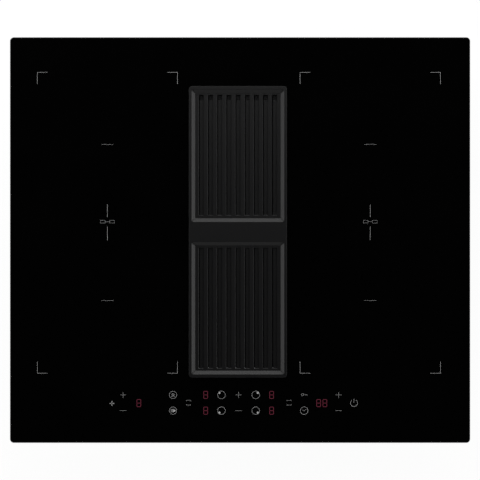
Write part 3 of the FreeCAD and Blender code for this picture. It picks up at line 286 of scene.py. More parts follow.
# Steel casing, angle frame and clips
# Folded from hot-dip galvanised sheet, whose zinc froze in flat crystals about 9 mm across that
# each throw the light their own way. The clips are bright spring steel, streaked along their leaf.


def galvanised():
    """Each Voronoi cell is one crystal with its own tone; a noise of 1.2 mm dulls it."""
    material, tree, shader, place = start("hot_dip_galvanised_steel", Metallic=1.0)
    crystals = add(tree, "TexVoronoi", {"Vector": place, "Scale": per(9)}).outputs["Color"]
    tone = add(tree, "SeparateColor", {"Color": crystals}).outputs[0]
    dull = add(tree, "TexNoise", {"Vector": place, "Scale": per(1.2), "Detail": 4.0}).outputs["Fac"]
    both = add(tree, "Mix", {0: 0.4, 2: tone, 3: dull}).outputs[0]
    surface(tree, shader, both, "#8f9397", "#bdc1c4", smooth=0.34, rough=0.55,
            relief=both, depth=0.02)
    return material


dress(galvanised(), "casing_tray", "angle_frame")
soften(0.8, "casing_tray")
spring_steel = rolled("bright_spring_steel", "#a4a6aa", "#cccfd2",
                      pitch=0.6, stretch=(1, 1, 0.04), smooth=0.22, rough=0.36)
dress(spring_steel, "side_clips")

# Power boards, heat sinks, capacitors and cooling fan frames
# Boards with copper tracks under a glossy green solder mask, extruded aluminium heat sinks with
# drawn lines along their fins, glossy blue capacitor cases, and satin black fan frames.


def circuit(name):
    """Brick courses 2.4 mm apart stand for tracks, with a 14 mm noise for the copper areas.

    Real tracks are about half as far apart, too fine to show, so these are drawn coarser.
    """
    material, tree, shader, place = start(name, IOR=1.5, Coat_Weight=0.4, Coat_Roughness=0.15)
    tracks = add(tree, "TexBrick", {"Vector": place, "Scale": per(4), "Mortar Size": 0.1,
                                    "Brick Width": 2.4, "Row Height": 0.6}).outputs["Fac"]
    pour = add(tree, "TexNoise", {"Vector": place, "Scale": per(14), "Detail": 1.0}).outputs["Fac"]
    both = add(tree, "Mix", {0: pour, 2: tracks, 3: 0.1}).outputs[0]
    surface(tree, shader, both, "#0e4a2a", "#2f7a4b", smooth=0.25, rough=0.4,
            relief=tracks, depth=0.03)
    return material


dress(circuit("solder_masked_board"), "power_board_left", "power_board_right", "touch_board")
sink_metal = rolled("extruded_aluminium", "#b4b6b8", "#d0d2d4",
                    pitch=0.7, stretch=(1, 0.04, 1), smooth=0.3, rough=0.42)
dress(sink_metal, "heat_sink_left", "heat_sink_right")
blue_case = moulded("epoxy_filled_case", "#1f4c8f", "#2a5da6",
                    grain=1.2, depth=0.01, smooth=0.22, rough=0.35)
dress(blue_case, "film_capacitors")
black_polyester = moulded("moulded_black_polyester", "#1b1b1d", "#28282b",
                          grain=0.7, depth=0.02, smooth=0.4, rough=0.55)
dress(black_polyester, "cooling_fan_frames")

# Coil plates, ferrite bars, formers and sensors
# Pressed aluminium plates, streaked from the mill, carry matt grey sintered ferrite bars and cream
# glass-filled formers. A glazed ceramic sensor stands in the eye of each coil.
plate_metal = rolled("mill_finish_aluminium", "#b6b8ba", "#d3d5d7",
                     pitch=0.9, stretch=(1, 0.03, 1), smooth=0.3, rough=0.42)
dress(plate_metal, "coil_plate_left", "coil_plate_right")
ferrite = moulded("sintered_ferrite", "#2c2c2f", "#3b3b3f",
                  grain=0.5, depth=0.03, smooth=0.55, rough=0.75)
dress(ferrite, "ferrite_bars")
former = moulded("glass_filled_former", "#cfc6ae", "#ded6c0",
                 grain=0.7, depth=0.03, smooth=0.5, rough=0.65)
dress(former, "coil_formers")
ceramic = moulded("glazed_sensor_ceramic", "#dedcd4", "#efede6",
                  grain=2.0, depth=0.01, smooth=0.2, rough=0.3)
dress(ceramic, "coil_sensors")

# Coils and mica sheets
# Two flat layers of enamelled litz wound from the eye to the rim, whose twisted strands glint light
# and dark copper. Pressed mica, pearly and flaked, keeps the coils from the hot glass.
LITZ_RADIUS, WIRE_TALL, WIRE_SIDES, TURNS, STEPS = 1.2, 1.1, 6, 23, 60
EYE_HALF, EYE_CUT, RIM_CUT, RIM_GAP, LAYER_INSET = 28, 14, 34, 0.1, 1.34


def span(node):
    """Lowest and highest corner of a CAD node at rest, in millimetres."""
    return np.array(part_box(node)) * 1000


def flats(turn, wide, deep, cut):
    """Distance from the middle to an octagon with rounded corners, at each turn.

    It is one over the eighth root of the sum of the eighth powers of |cos| / wide, |sin| / deep
    and (|cos| + |sin|) / (wide + deep - cut).
    """
    across, along = np.abs(np.cos(turn)), np.abs(np.sin(turn))
    corner = (across + along) / (wide + deep - cut)
    return ((across / wide) ** 8 + (along / deep) ** 8 + corner**8) ** (-1 / 8)


def wound(low, high):
    """Points and faces of the two layers of a coil that fills this box.

    The path leads away from the eye's octagon to the rim's, in step with the turn. A hexagon is
    carried along it, sideways by the cos of its corners and up by the sin, which is stretched a
    little to make it nearly as tall as wide.
    """
    middle, half = (low + high) / 2, (high - low) / 2
    turn = 2 * math.pi * np.arange(TURNS * STEPS + 1) / STEPS
    inner = flats(turn, EYE_HALF + LITZ_RADIUS, EYE_HALF + LITZ_RADIUS, EYE_CUT)
    rim = flats(turn, half[0] - LITZ_RADIUS - RIM_GAP, half[1] - LITZ_RADIUS - RIM_GAP, RIM_CUT)
    away = inner + (rim - inner) * (turn / turn[-1])
    path = np.stack([away * np.cos(turn), away * np.sin(turn)], axis=-1) + middle[:2]
    ahead = np.gradient(path, axis=0)
    ahead /= np.linalg.norm(ahead, axis=1, keepdims=True)
    side = np.stack([ahead[:, 1], -ahead[:, 0]], axis=-1)
    corner = 2 * math.pi * np.arange(WIRE_SIDES) / WIRE_SIDES
    across = path[:, None, :] + side[:, None, :] * LITZ_RADIUS * np.cos(corner)[None, :, None]
    rise = np.broadcast_to(LITZ_RADIUS * WIRE_TALL * np.sin(corner), across.shape[:2])
    layers = [np.concatenate([across, (rise + level)[..., None]], axis=-1).reshape(-1, 3)
              for level in (low[2] + LAYER_INSET, high[2] - LAYER_INSET)]
    index = np.arange(len(path) * WIRE_SIDES).reshape(len(path), WIRE_SIDES)
    beside = np.roll(index, -1, axis=1)
    quads = np.stack([index[:-1], index[1:], beside[1:], beside[:-1]], axis=-1).reshape(-1, 4)
    ends = np.array([[0, 1, 2, 3], [0, 3, 4, 5]])
    quads = np.concatenate([quads, ends, ends[:, ::-1] + index[-1, 0]])
    return np.concatenate(layers), np.concatenate([quads, quads + index.size])


litz, tree, shader, place = start("enamelled_litz", Metallic=1.0)
twist = add(tree, "TexNoise", {"Vector": place, "Scale": per(0.7), "Detail": 3.0}).outputs["Fac"]
heat = add(tree, "TexNoise", {"Vector": place, "Scale": per(30), "Detail": 1.0}).outputs["Fac"]
both = add(tree, "Mix", {0: 0.35, 2: twist, 3: heat}).outputs[0]
surface(tree, shader, both, "#6a3018", "#c87a44", smooth=0.28, rough=0.46, relief=twist, depth=0.08)
for name in ("front_left", "rear_left", "front_right", "rear_right"):
    winding = new_piece("litz_" + name, *wound(*span("coil_" + name)), litz, "hob", "litz_wire")
    winding.data.shade_smooth()
    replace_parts(winding, "coil_" + name)


def pressed_mica():
    """Overlapping flakes: soft Voronoi cells of 6 mm, broken up by a noise of 1 mm."""
    material, tree, shader, place = start("pressed_mica", IOR=1.58, Coat_Weight=0.3,
                                          Coat_Roughness=0.2)
    flakes = add(tree, "TexVoronoi", {"Vector": place, "Scale": per(6)}, feature="SMOOTH_F1")
    grains = add(tree, "TexNoise", {"Vector": place, "Scale": per(1.0), "Detail": 5.0})
    both = add(tree, "Mix", {0: 0.5, 2: flakes.outputs["Distance"], 3: grains.outputs["Fac"]})
    surface(tree, shader, both.outputs[0], "#9a8a6e", "#c9bda4", smooth=0.25, rough=0.45)
    return material


dress(pressed_mica(), "mica_sheet_left", "mica_sheet_right")

# Touch panel, inlet frame and foam tape
# A satin black moulded carrier under the front of the glass, with displays behind smooth smoked
# resin faces and matt foam pads pressed to the glass. The inlet frame is of the same plastic.
black_moulding = moulded("moulded_black_abs", "#1c1c1e", "#29292c",
                         grain=0.8, depth=0.04, smooth=0.45, rough=0.6)
dress(black_moulding, "touch_carrier", "inlet_frame")
smoked_resin = moulded("smoked_epoxy", "#1a0b0c", "#261012",
                       grain=1.5, depth=0.005, smooth=0.15, rough=0.25)
dress(smoked_resin, "digit_displays")
foam = elastic("conductive_foam", "#2b2b2d", "#3c3c3f", cell=1.0, depth=0.05)
dress(foam, "touch_pads", "seal_tape")

# Drip tray
# A deep tray moulded in dark grey polypropylene, with two tabs to lift it by. Its tool is polished
# further than the housing's, so the skin is satin and slightly clouded.
tray_moulding = moulded("satin_polypropylene", "#484a4e", "#56585d",
                        grain=1.1, depth=0.02, smooth=0.3, rough=0.48)
dress(tray_moulding, "drip_tray")
soften(0.8, "drip_tray")

# Grease filter
# Cassette of brushed aluminium sheet round layers of expanded aluminium, which are slit and pulled
# so that their strands stand in diamonds. The layers replace the plain pad of the solid.
filter_sheet = rolled("brushed_aluminium", "#aeb0b3", "#cbcdd0",
                      pitch=0.5, stretch=(1, 0.03, 1), smooth=0.28, rough=0.4)
dress(filter_sheet, "filter_frame", "filter_handle")
soften(0.4, "filter_frame", "filter_handle")

DIAMOND_WIDE, DIAMOND_DEEP, STRAND, LAYERS = 9.0, 5.0, 1.3, 4
SIDE_GAP, END_GAP, PACK_INSET, TILT, LIFT, GAUGE = 0.3, 0.7, 1.2, 1.1, 0.2, 0.4


def strands(low, high, level, shift):
    """Zigzag ribbons along X: y is its row plus a wave that turns at each step, z tilts with it.

    The grid runs over rows, steps along X and the ribbon's two edges; a quad joins each step.
    """
    rows = np.arange(low[1] + DIAMOND_DEEP / 2 + END_GAP, high[1] - DIAMOND_DEEP / 2 - END_GAP,
                     DIAMOND_DEEP / 2)
    steps = np.arange(low[0] + SIDE_GAP + shift, high[0] - SIDE_GAP, DIAMOND_WIDE / 2)
    row, step, edge = np.meshgrid(rows, steps, [-0.5, 0.5], indexing="ij")
    turns = np.rint((row - rows[0]) / (DIAMOND_DEEP / 2) + (step - steps[0]) / (DIAMOND_WIDE / 2))
    wave = 1 - 2 * (turns % 2)
    y = row + wave * DIAMOND_DEEP / 4 + edge * STRAND
    z = level + edge * TILT + wave * LIFT
    points = np.stack([step, y, z], axis=-1).reshape(-1, 3)
    n, m = len(rows), len(steps)
    corner = (np.arange(n)[:, None] * m + np.arange(m - 1)[None, :]).ravel() * 2
    return points, np.stack([corner, corner + 2, corner + 3, corner + 1], axis=-1)


low, high = span("filter_mesh")
points, faces, count = [], [], 0
for layer in range(LAYERS):
    level = low[2] + PACK_INSET + (high[2] - low[2] - 2 * PACK_INSET) * layer / (LAYERS - 1)
    some, quads = strands(low, high, level, DIAMOND_WIDE / 4 * (layer % 2))
    points.append(some)
    faces.append(quads + count)
    count += len(some)
# bare aluminium, bright on its cut edges and greyed by film in patches of 5 mm
expanded, tree, shader, place = start("expanded_aluminium", Metallic=1.0)
film = add(tree, "TexNoise", {"Vector": place, "Scale": per(5), "Detail": 4.0}).outputs["Fac"]
surface(tree, shader, film, "#6d6f72", "#a5a7aa", smooth=0.3, rough=0.5)
lattice = new_piece("filter_lattice", np.concatenate(points), np.concatenate(faces), expanded,
                    "grease_filter", "filter_mesh")
wall = lattice.modifiers.new("gauge", "SOLIDIFY")
wall.thickness = GAUGE / 1000
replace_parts(lattice, "filter_mesh")

# Glass plate
# Black glass-ceramic, rolled, ground and polished. It is the colour of the melt, so it stays black
# at the ground edge too, and only its smooth face, faintly rippled, throws back the room.
glass, tree, shader, place = start("rolled_glass_ceramic", IOR=1.5)
ripple = add(tree, "TexNoise", {"Vector": place, "Scale": per(70), "Detail": 2.0}).outputs["Fac"]
surface(tree, shader, ripple, "#010101", "#030303", smooth=0.03, rough=0.07,
        relief=ripple, depth=0.01)
dress(glass, "glass_top")

# Printed marks
# Zone corners, dashes and touch symbols in pale ceramic ink, screen printed and fired into the
# glass. They stand 0.03 mm on it with crisp edges, matt against the gloss.
PRINT_LEVEL, PRINT_THICKNESS, LINE = 209.01, 0.03, 0.29
ARC_POINTS, DOT_POINTS = 49, 17
# keeps the tips of a dot, in radians, and of a segment, in millimetres, from closing to a point
BLUNT = 0.02


def strip(left, right):
    """Two rows of (x, y) points, side by side, that bound a row of quads."""
    return np.asarray(left, float), np.asarray(right, float)


def bar(x, y, wide, deep):
    """Upright rectangle about its middle."""
    a, b = wide / 2, deep / 2
    return strip([(x - a, y - b), (x - a, y + b)], [(x + a, y - b), (x + a, y + b)])


def arc(x, y, radius, width, start_angle=0, end_angle=360):
    """Band round a centre: the rows are circles of radius plus and minus half the width."""
    turn = np.radians(np.linspace(start_angle, end_angle, ARC_POINTS))
    ray = np.stack([np.cos(turn), np.sin(turn)], axis=-1)
    middle = np.array([x, y])
    return strip(middle + ray * (radius + width / 2), middle + ray * (radius - width / 2))


def line(x0, y0, x1, y1, width):
    """Band between two points, square at its ends."""
    a, b = np.array([x0, y0], float), np.array([x1, y1], float)
    side = (b - a)[::-1] * (-1, 1) / np.hypot(*(b - a)) * width / 2
    return strip([a - side, b - side], [a + side, b + side])


def dot(x, y, radius):
    """Disc, as a band from the lower half of its rim to the upper half."""
    turn = np.linspace(BLUNT, math.pi - BLUNT, DOT_POINTS)
    across, up = x - radius * np.cos(turn), radius * np.sin(turn)
    return strip(np.stack([across, y - up], axis=-1), np.stack([across, y + up], axis=-1))


def plate(name, strips, material, slot):
    """Flat piece on the glass: a grid of two rows for each strip, facing up, thickened downwards.

    Where a strip's rows run the other way, its quads are turned over.
    """
    points, faces, count = [], [], 0
    for left, right in strips:
        n = len(left)
        points.append(np.vstack([left, right]))
        corner = np.arange(n - 1) + count
        quads = np.stack([corner, corner + n, corner + n + 1, corner + 1], axis=-1)
        across, along = right[0] - left[0], left[1] - left[0]
        faces.append(quads if across[0] * along[1] > across[1] * along[0] else quads[:, ::-1])
        count += 2 * n
    flat = np.concatenate(points)
    points = np.column_stack([flat, np.full(len(flat), PRINT_LEVEL + PRINT_THICKNESS)])
    piece = new_piece(name, points, np.concatenate(faces), material, "hob", slot)
    wall = piece.modifiers.new("thickness", "SOLIDIFY")
    wall.thickness = PRINT_THICKNESS / 1000
    wall.offset = -1


# zones: a leg each way at the four corners, a dash in each half, and stems to the bridge between
ZONE_X, ZONE_Y = ((-259.9, -80.3), (76.9, 256.9)), (-170.7, 215.03)
LEG_WIDE, LEG_DEEP = 13.1, 15.1
DASH_LONG, DASH, DASHES_Y, STEMS = 15.7, 0.18, (122.65, -77.5), ((37.85, 16.5), (8.65, 17.7))
# bridge: two boxes joined by a link
BRIDGE_Y, BRIDGE_LINE, LINK_LONG = 23.6, 0.17, 5.6
BOX_X, BOX_LONG, BOX_RISE, BOX_SIDE, BOX_DEEP = 5.9, 6.2, 1.7, 2.99, 3.18
marks = []
for pair in ZONE_X:
    middle = sum(pair) / 2
    for x, inward in zip(pair, (1, -1)):
        for y, toward in zip(ZONE_Y, (1, -1)):
            marks.append(bar(x + inward * (LEG_WIDE - LINE) / 2, y, LEG_WIDE, LINE))
            marks.append(bar(x, y + toward * LEG_DEEP / 2, LINE, LEG_DEEP - LINE))
    marks += [bar(middle, y, DASH_LONG, DASH) for y in DASHES_Y]
    marks += [bar(middle, y, LINE, deep) for y, deep in STEMS]
    for x in (middle - BOX_X, middle + BOX_X):
        marks += [bar(x, BRIDGE_Y + s * BOX_RISE, BOX_LONG, BRIDGE_LINE) for s in (-1, 1)]
        marks += [bar(x + s * BOX_SIDE, BRIDGE_Y, BRIDGE_LINE, BOX_DEEP) for s in (-1, 1)]
    marks.append(bar(middle, BRIDGE_Y, LINK_LONG, BRIDGE_LINE))

# touch symbols stand in three rows
UPPER, MIDDLE, LOWER, FINE, RING = -198.5, -209.0, -218.7, 0.24, 0.3
# plus over minus
PLUS_X, PLUS_LONG, PLUS_ARM, PLUS_RISE, MINUS_LONG = (-150.0, -1.9, 126.4), 7.3, 3.74, 2.0, 8.4
for x in PLUS_X:
    marks += [bar(x, UPPER, PLUS_LONG, FINE), bar(x, LOWER, MINUS_LONG, FINE)]
    marks += [bar(x, UPPER + s * PLUS_RISE, FINE, PLUS_ARM) for s in (1, -1)]
# join: two square brackets that face each other
JOIN_X, JOIN_LONG, JOIN_SIDE, JOIN_DROP, JOIN_LEG = (-66.1, 62.8), 5.8, 2.77, 0.58, 0.9
for x in JOIN_X:
    for y, legs in ((-205.4, -1), (-211.5, 1)):
        marks.append(bar(x, y, JOIN_LONG, FINE))
        marks += [bar(x + s * JOIN_SIDE, y + legs * JOIN_DROP, FINE, JOIN_LEG) for s in (-1, 1)]
# zone: a ring with a dot in the quarter where the zone lies
PICK_RADIUS, PICK_DOT, PICK_REACH = 4.9, 1.3, 2.55
for x, side in ((-23.9, -1), (20.1, 1)):
    for y, up in ((UPPER, 1), (LOWER, -1)):
        marks.append(arc(x, y, PICK_RADIUS, RING))
        marks.append(dot(x + side * PICK_REACH, y + up * PICK_REACH, PICK_DOT))
# boost: four petals make a diamond
BOOST_X, BOOST_Y, PETAL_FROM, PETAL_TO, PETAL_WIDE = -164.3, MIDDLE - 0.4, 0.7, 3.1, 0.66
marks += [line(BOOST_X + PETAL_FROM * a, BOOST_Y + PETAL_FROM * b,
               BOOST_X + PETAL_TO * a, BOOST_Y + PETAL_TO * b, PETAL_WIDE)
          for a, b in ((1, 0), (0, 1), (-1, 0), (0, -1))]
# fast heating: two chevrons in a ring
KEY_X, KEY_RADIUS = -86.0, 4.7
CHEVRON_HALF, CHEVRON_FOOT, CHEVRON_TIP, CHEVRON_LINE = 1.9, 0.8, 0.9, 0.5
marks.append(arc(KEY_X, UPPER, KEY_RADIUS, RING))
for rise in (-1.5, 0.9):
    marks += [line(KEY_X + s * CHEVRON_HALF, UPPER + rise - CHEVRON_FOOT,
                   KEY_X, UPPER + rise + CHEVRON_TIP, CHEVRON_LINE) for s in (-1, 1)]
# pause: two bars and an arrow head in a ring
ARROW_FOOT, ARROW_TIP, ARROW_HALF, TIP_HALF = KEY_X + 0.4, KEY_X + 3.6, 2.3, 0.05
marks.append(arc(KEY_X, LOWER, KEY_RADIUS, RING))
marks += [bar(KEY_X - 2.4, LOWER, 0.45, 4.0), bar(KEY_X - 1.0, LOWER, 0.6, 4.4)]
marks.append(strip([(ARROW_FOOT, LOWER - ARROW_HALF), (ARROW_TIP, LOWER - TIP_HALF)],
                   [(ARROW_FOOT, LOWER + ARROW_HALF), (ARROW_TIP, LOWER + TIP_HALF)]))
# lock: a key with a ring, a stem and two teeth
LOCK_X, LOCK_Y, LOCK_RADIUS, STEM_LONG, TOOTH_DROP, TOOTH = 80.1, UPPER + 0.3, 1.45, 4.7, 0.7, 1.14
marks += [arc(LOCK_X, LOCK_Y, LOCK_RADIUS, FINE), bar(LOCK_X + 3.8, LOCK_Y, STEM_LONG, FINE)]
marks += [bar(LOCK_X + x, LOCK_Y - TOOTH_DROP, FINE, TOOTH) for x in (4.5, 6.0)]
# clock: a ring and two hands from a hub below its middle
CLOCK_X, CLOCK_RADIUS, HUB_Y = 82.1, 4.85, LOWER - 0.6
marks.append(arc(CLOCK_X, LOWER, CLOCK_RADIUS, RING))
marks += [line(CLOCK_X, HUB_Y, CLOCK_X + x, LOWER + y, FINE) for x, y in ((-1.7, 1.3), (2.6, 2.2))]
# power: an open ring and a stroke
POWER_X, POWER_RADIUS, OPEN_FROM, OPEN_TO, STROKE = 146.0, 4.5, 125, 415, 5.0
marks.append(arc(POWER_X, MIDDLE + 0.1, POWER_RADIUS, RING, OPEN_FROM, OPEN_TO))
marks.append(bar(POWER_X, MIDDLE + 3.0, RING, STROKE))

# the mesh of the printing screen leaves a grain of half a millimetre
ink, tree, shader, place = start("fired_ceramic_ink", IOR=1.5)
screen = add(tree, "TexNoise", {"Vector": place, "Scale": per(0.5), "Detail": 2.0}).outputs["Fac"]
surface(tree, shader, screen, "#cdcdcd", "#dcdcdc", smooth=0.45, rough=0.6)
plate("printed_marks", marks, ink, "glass_ceramic")

# Lit digits
# LED segments under the glass that shine through it in a dull red, every segment on. They are drawn
# on its face, where they show, each as a long six-sided bar with a gap to the next.
DIGIT_WIDE, DIGIT_DEEP, SEGMENT, SEGMENT_GAP = 5.0, 9.2, 0.66, 0.3
DIGITS = ((-129.8, MIDDLE), (-44.1, UPPER), (-44.1, LOWER), (40.4, UPPER), (40.4, LOWER),
          (100.7, MIDDLE), (108.7, MIDDLE))


def segment(x, y, length, upright):
    """Six-sided bar: its half width grows to half of SEGMENT over the same length at each end."""
    half = SEGMENT / 2
    along = np.array([-length / 2, -length / 2 + half, length / 2 - half, length / 2])
    across = np.array([BLUNT, half, half, BLUNT])
    if upright:
        return strip(np.stack([x - across, y + along], -1), np.stack([x + across, y + along], -1))
    return strip(np.stack([x + along, y - across], -1), np.stack([x + along, y + across], -1))


bars = []
for x, y in DIGITS:
    bars += [segment(x, y + rise * DIGIT_DEEP / 2, DIGIT_WIDE - SEGMENT_GAP, False)
             for rise in (-1, 0, 1)]
    bars += [segment(x + side * DIGIT_WIDE / 2, y + rise * DIGIT_DEEP / 4,
                     DIGIT_DEEP / 2 - SEGMENT_GAP, True) for side in (-1, 1) for rise in (-1, 1)]
led, tree, shader, place = start("led_through_glass", Roughness=0.3, Emission_Strength=1.0)
shader.inputs["Base Color"].default_value = linear("#120204")
cloud = add(tree, "TexNoise", {"Vector": place, "Scale": per(1.5), "Detail": 1.0}).outputs["Fac"]
glow = add(tree, "Mix", {0: cloud, 6: linear("#57212e"), 7: linear("#662838")}, data_type="RGBA")
tree.links.new(glow.outputs[2], shader.inputs["Emission Color"])
plate("lit_digits", bars, led, "display_module")

# Suction grille
# One aluminium die casting, shot-blasted and stoved with satin black enamel. Each window falls by
# its bevels to bars with a slot between each two; a slat closes most of the slot, low in it.
enamel, tree, shader, place = start("stoved_satin_enamel", IOR=1.5)
peel = add(tree, "TexNoise", {"Vector": place, "Scale": per(1.6), "Detail": 3.0}).outputs["Fac"]
blast = add(tree, "TexNoise", {"Vector": place, "Scale": per(0.45), "Detail": 1.0}).outputs["Fac"]
both = add(tree, "Mix", {0: 0.5, 2: peel, 3: blast}).outputs[0]
surface(tree, shader, both, "#0d0d0e", "#151516", smooth=0.25, rough=0.36, relief=both, depth=0.02)

low, high = span("vent_cover")
GRILLE_X, GRILLE_Y = (low[:2] + high[:2]) / 2
EASE_X, EASE_Y, GRILLE_RADIUS, PLUG_HALF = 0.35, 0.4, 4.0, (56.4, 180.4)
GRILLE_HALF = (high[:2] - low[:2]) / 2 - (EASE_X, EASE_Y)
WINDOW_HALF, WINDOW_FRONT, WINDOW_BACK, WINDOW_RADIUS, TIGHTENING = 59.2, 12.95, 182.35, 2.6, 2.0
BEVEL, BEVEL_DROP, DRAFT, SINK, LIP = 4.45, 4.03, 0.05, 0.2, 0.3
EDGE_RADIUS, EDGE_POINTS, CORNER_POINTS = 0.2, 4, 7
TOP, SEAT, BARS_TOP, SLAT_TOP, POCKET_FLOOR, PLUG_FOOT, BARS_FOOT = (
    high[2], 211.8, 210.0, 206.7, 205.6, 204.5, low[2])
# inset and drop of the rounded edge between the face and a window's bevels
ARRIS = ((-0.3, 0.0), (-0.12, 0.03), (0.05, 0.12), (0.2, 0.25))


def loop(half_width, front, back, level, front_radius, back_radius):
    """Rounded rectangle, counterclockwise from its front right corner, with as many points in each.

    A corner's points are its centre plus the radius times (cos, sin) over a quarter turn.
    """
    corners = ((1, front, front_radius, 270), (1, back, back_radius, 0),
               (-1, back, back_radius, 90), (-1, front, front_radius, 180))
    points = []
    for side, y, radius, first in corners:
        turn = np.radians(np.linspace(first, first + 90, CORNER_POINTS))
        centre_x = GRILLE_X + side * (half_width - radius)
        centre_y = GRILLE_Y + y + (radius if y == front else -radius)
        points.append(np.stack([centre_x + radius * np.cos(turn), centre_y + radius * np.sin(turn),
                                np.full(CORNER_POINTS, level)], axis=-1))
    return np.concatenate(points)


def outer(inset, level, half=GRILLE_HALF):
    """Outline of half the casting, from its middle line to its back, less an inset."""
    return loop(half[0] - inset, 0, half[1] - inset, level, 0, GRILLE_RADIUS - inset)


def window(inset, level):
    """Outline of a window, less an inset; its corners tighten in step towards its foot."""
    radius = WINDOW_RADIUS - TIGHTENING * max(inset, 0) / BEVEL
    return loop(WINDOW_HALF - inset, WINDOW_FRONT + inset, WINDOW_BACK - inset, level,
                radius, radius)


# the back half: rings lead from the plug round the rim and down the bevels to the bars
rings = [window(BEVEL + 2 * DRAFT, PLUG_FOOT), outer(0, PLUG_FOOT, PLUG_HALF)]
rings += [outer(0, SEAT, PLUG_HALF), outer(LIP, SEAT), outer(0, SEAT + LIP)]
rings += [outer(EDGE_RADIUS * (1 - math.cos(t)), TOP - EDGE_RADIUS * (1 - math.sin(t)))
          for t in np.linspace(0, math.pi / 2, EDGE_POINTS)]
rings += [window(inset, TOP - drop) for inset, drop in ARRIS]
rings += [window(BEVEL, TOP - BEVEL_DROP), window(BEVEL + DRAFT, BARS_TOP - SINK)]
shell = np.concatenate(rings)
index = np.arange(len(shell)).reshape(len(rings), -1)
ahead, inside = np.roll(index, -1, axis=1), np.roll(index, -1, axis=0)
quads = np.stack([index, ahead, np.roll(ahead, -1, axis=0), inside], axis=-1).reshape(-1, 4)
# the front half mirrors it, and no face closes either on the line where they meet
on_middle = np.abs(shell[:, 1] - GRILLE_Y) < 1e-6
quads = quads[~on_middle[quads].all(axis=1)]
mirrored = shell * (1, -1, 1) + (0, 2 * GRILLE_Y, 0)
points, faces = [shell, mirrored], [quads, quads[:, ::-1] + len(shell)]
count = 2 * len(shell)

# the slab of bars is tucked a little under the bevels
SLOTS, SLOT_PITCH, SLOT_WIDE, SLIT, POCKET_LONG, TUCK = 9, 11.75, 6.3, 1.2, 6.6, 0.9
CHAMFER_LEFT, CHAMFER_RIGHT, CHAMFER_FRONT, CHAMFER_BACK, CHAMFER_DROP = 0.4, 0.2, 0.38, 0.3, 0.3
# y of the ends of the slab and of its slots, and the level of the pockets at the slots' back ends
GRATINGS = ((26.9, 190.4, 32.0, 186.2, POCKET_FLOOR), (-168.4, -5.9, -164.2, -10.0, SLAT_TOP))


def grating(slab_front, slab_back, slot_front, slot_back, pocket_level):
    """Slab with slots as one height per grid cell corner; walls stand where neighbours differ.

    Along X each slot has a chamfer, the open slit, the slat and a chamfer. Along Y it has a
    chamfer, the slat, a pocket at its back end and a chamfer. Walls are cut at each named level,
    so that their edges meet. Each quad comes back as its four corners.
    """
    starts = GRILLE_X + (np.arange(SLOTS) - SLOTS // 2) * SLOT_PITCH - SLOT_WIDE / 2
    offsets = np.array([-CHAMFER_LEFT, 0, SLIT, SLOT_WIDE, SLOT_WIDE + CHAMFER_RIGHT])
    reach = WINDOW_HALF - BEVEL + TUCK
    xs = np.concatenate([[GRILLE_X - reach], (starts[:, None] + offsets).ravel(),
                         [GRILLE_X + reach]])
    ys = np.array([slab_front, slot_front - CHAMFER_FRONT, slot_front, slot_back - POCKET_LONG,
                   slot_back, slot_back + CHAMFER_BACK, slab_back])
    # columns go bar, then chamfer 0, slit 1, slat 2, chamfer 3, bar 4 for each slot;
    # rows go bar 0, chamfer 1, slat 2, pocket 3, chamfer 4, bar 5
    column = np.concatenate([[-1], np.tile(np.arange(5), SLOTS)])
    row = np.arange(6)
    sunk_x = np.concatenate([[0], np.tile([0, 1, 1, 1, 0], SLOTS), [0]])
    sunk_y = np.array([0, 0, 1, 1, 1, 0, 0])
    rim = BARS_TOP - CHAMFER_DROP * sunk_x[:, None] * sunk_y[None, :]
    height = np.stack([rim[:-1, :-1], rim[1:, :-1], rim[1:, 1:], rim[:-1, 1:]], axis=-1)
    corners = ((column == 0) | (column == 3))[:, None] & ((row == 1) | (row == 4))[None, :]
    height[corners] = BARS_TOP
    in_slot = ((column == 1) | (column == 2))[:, None] & ((row == 2) | (row == 3))[None, :]
    height[in_slot] = SLAT_TOP
    height[in_slot & (row == 3)[None, :]] = pocket_level
    open_cell = in_slot & (column == 1)[:, None]
    height[open_cell] = BARS_FOOT

    x, y = np.meshgrid(xs, ys, indexing="ij")
    first, last = slice(None, -1), slice(1, None)
    square = ((first, first), (last, first), (last, last), (first, last))
    tops = np.stack([np.stack([x[c], y[c], height[..., k]], -1) for k, c in enumerate(square)], 2)
    foot = tops.copy()
    foot[..., 2] = BARS_FOOT
    pieces = [tops[~open_cell], foot[~open_cell][:, ::-1]]

    padded = np.full((len(xs) + 1, len(ys) + 1, 4), float(BARS_FOOT))
    padded[1:-1, 1:-1] = height
    levels = (BARS_FOOT, POCKET_FLOOR, SLAT_TOP, BARS_TOP - CHAMFER_DROP, BARS_TOP)
    for low_level, high_level in zip(levels, levels[1:]):
        cut = np.clip(padded, low_level, high_level)
        left, right = cut[:-1, 1:-1], cut[1:, 1:-1]
        front, back = cut[1:-1, :-1], cut[1:-1, 1:]
        for here, there, heights in (
            ((x[:, :-1], y[:, :-1]), (x[:, 1:], y[:, 1:]),
             (right[..., 0], right[..., 3], left[..., 2], left[..., 1])),
            ((x[1:], y[1:]), (x[:-1], y[:-1]),
             (back[..., 1], back[..., 0], front[..., 3], front[..., 2])),
        ):
            ends = (here, there, there, here)
            pieces.append(np.stack([np.stack([*e, z], -1) for e, z in zip(ends, heights)], 2))
    boards = np.concatenate([piece.reshape(-1, 4, 3) for piece in pieces])
    standing = np.abs(boards[:, 0, :2] - boards[:, 2, :2]).min(axis=1) < 1e-9
    no_height = np.abs(boards[:, :2, 2] - boards[:, :1:-1, 2]).max(axis=1) < 1e-9
    return boards[~(standing & no_height)]


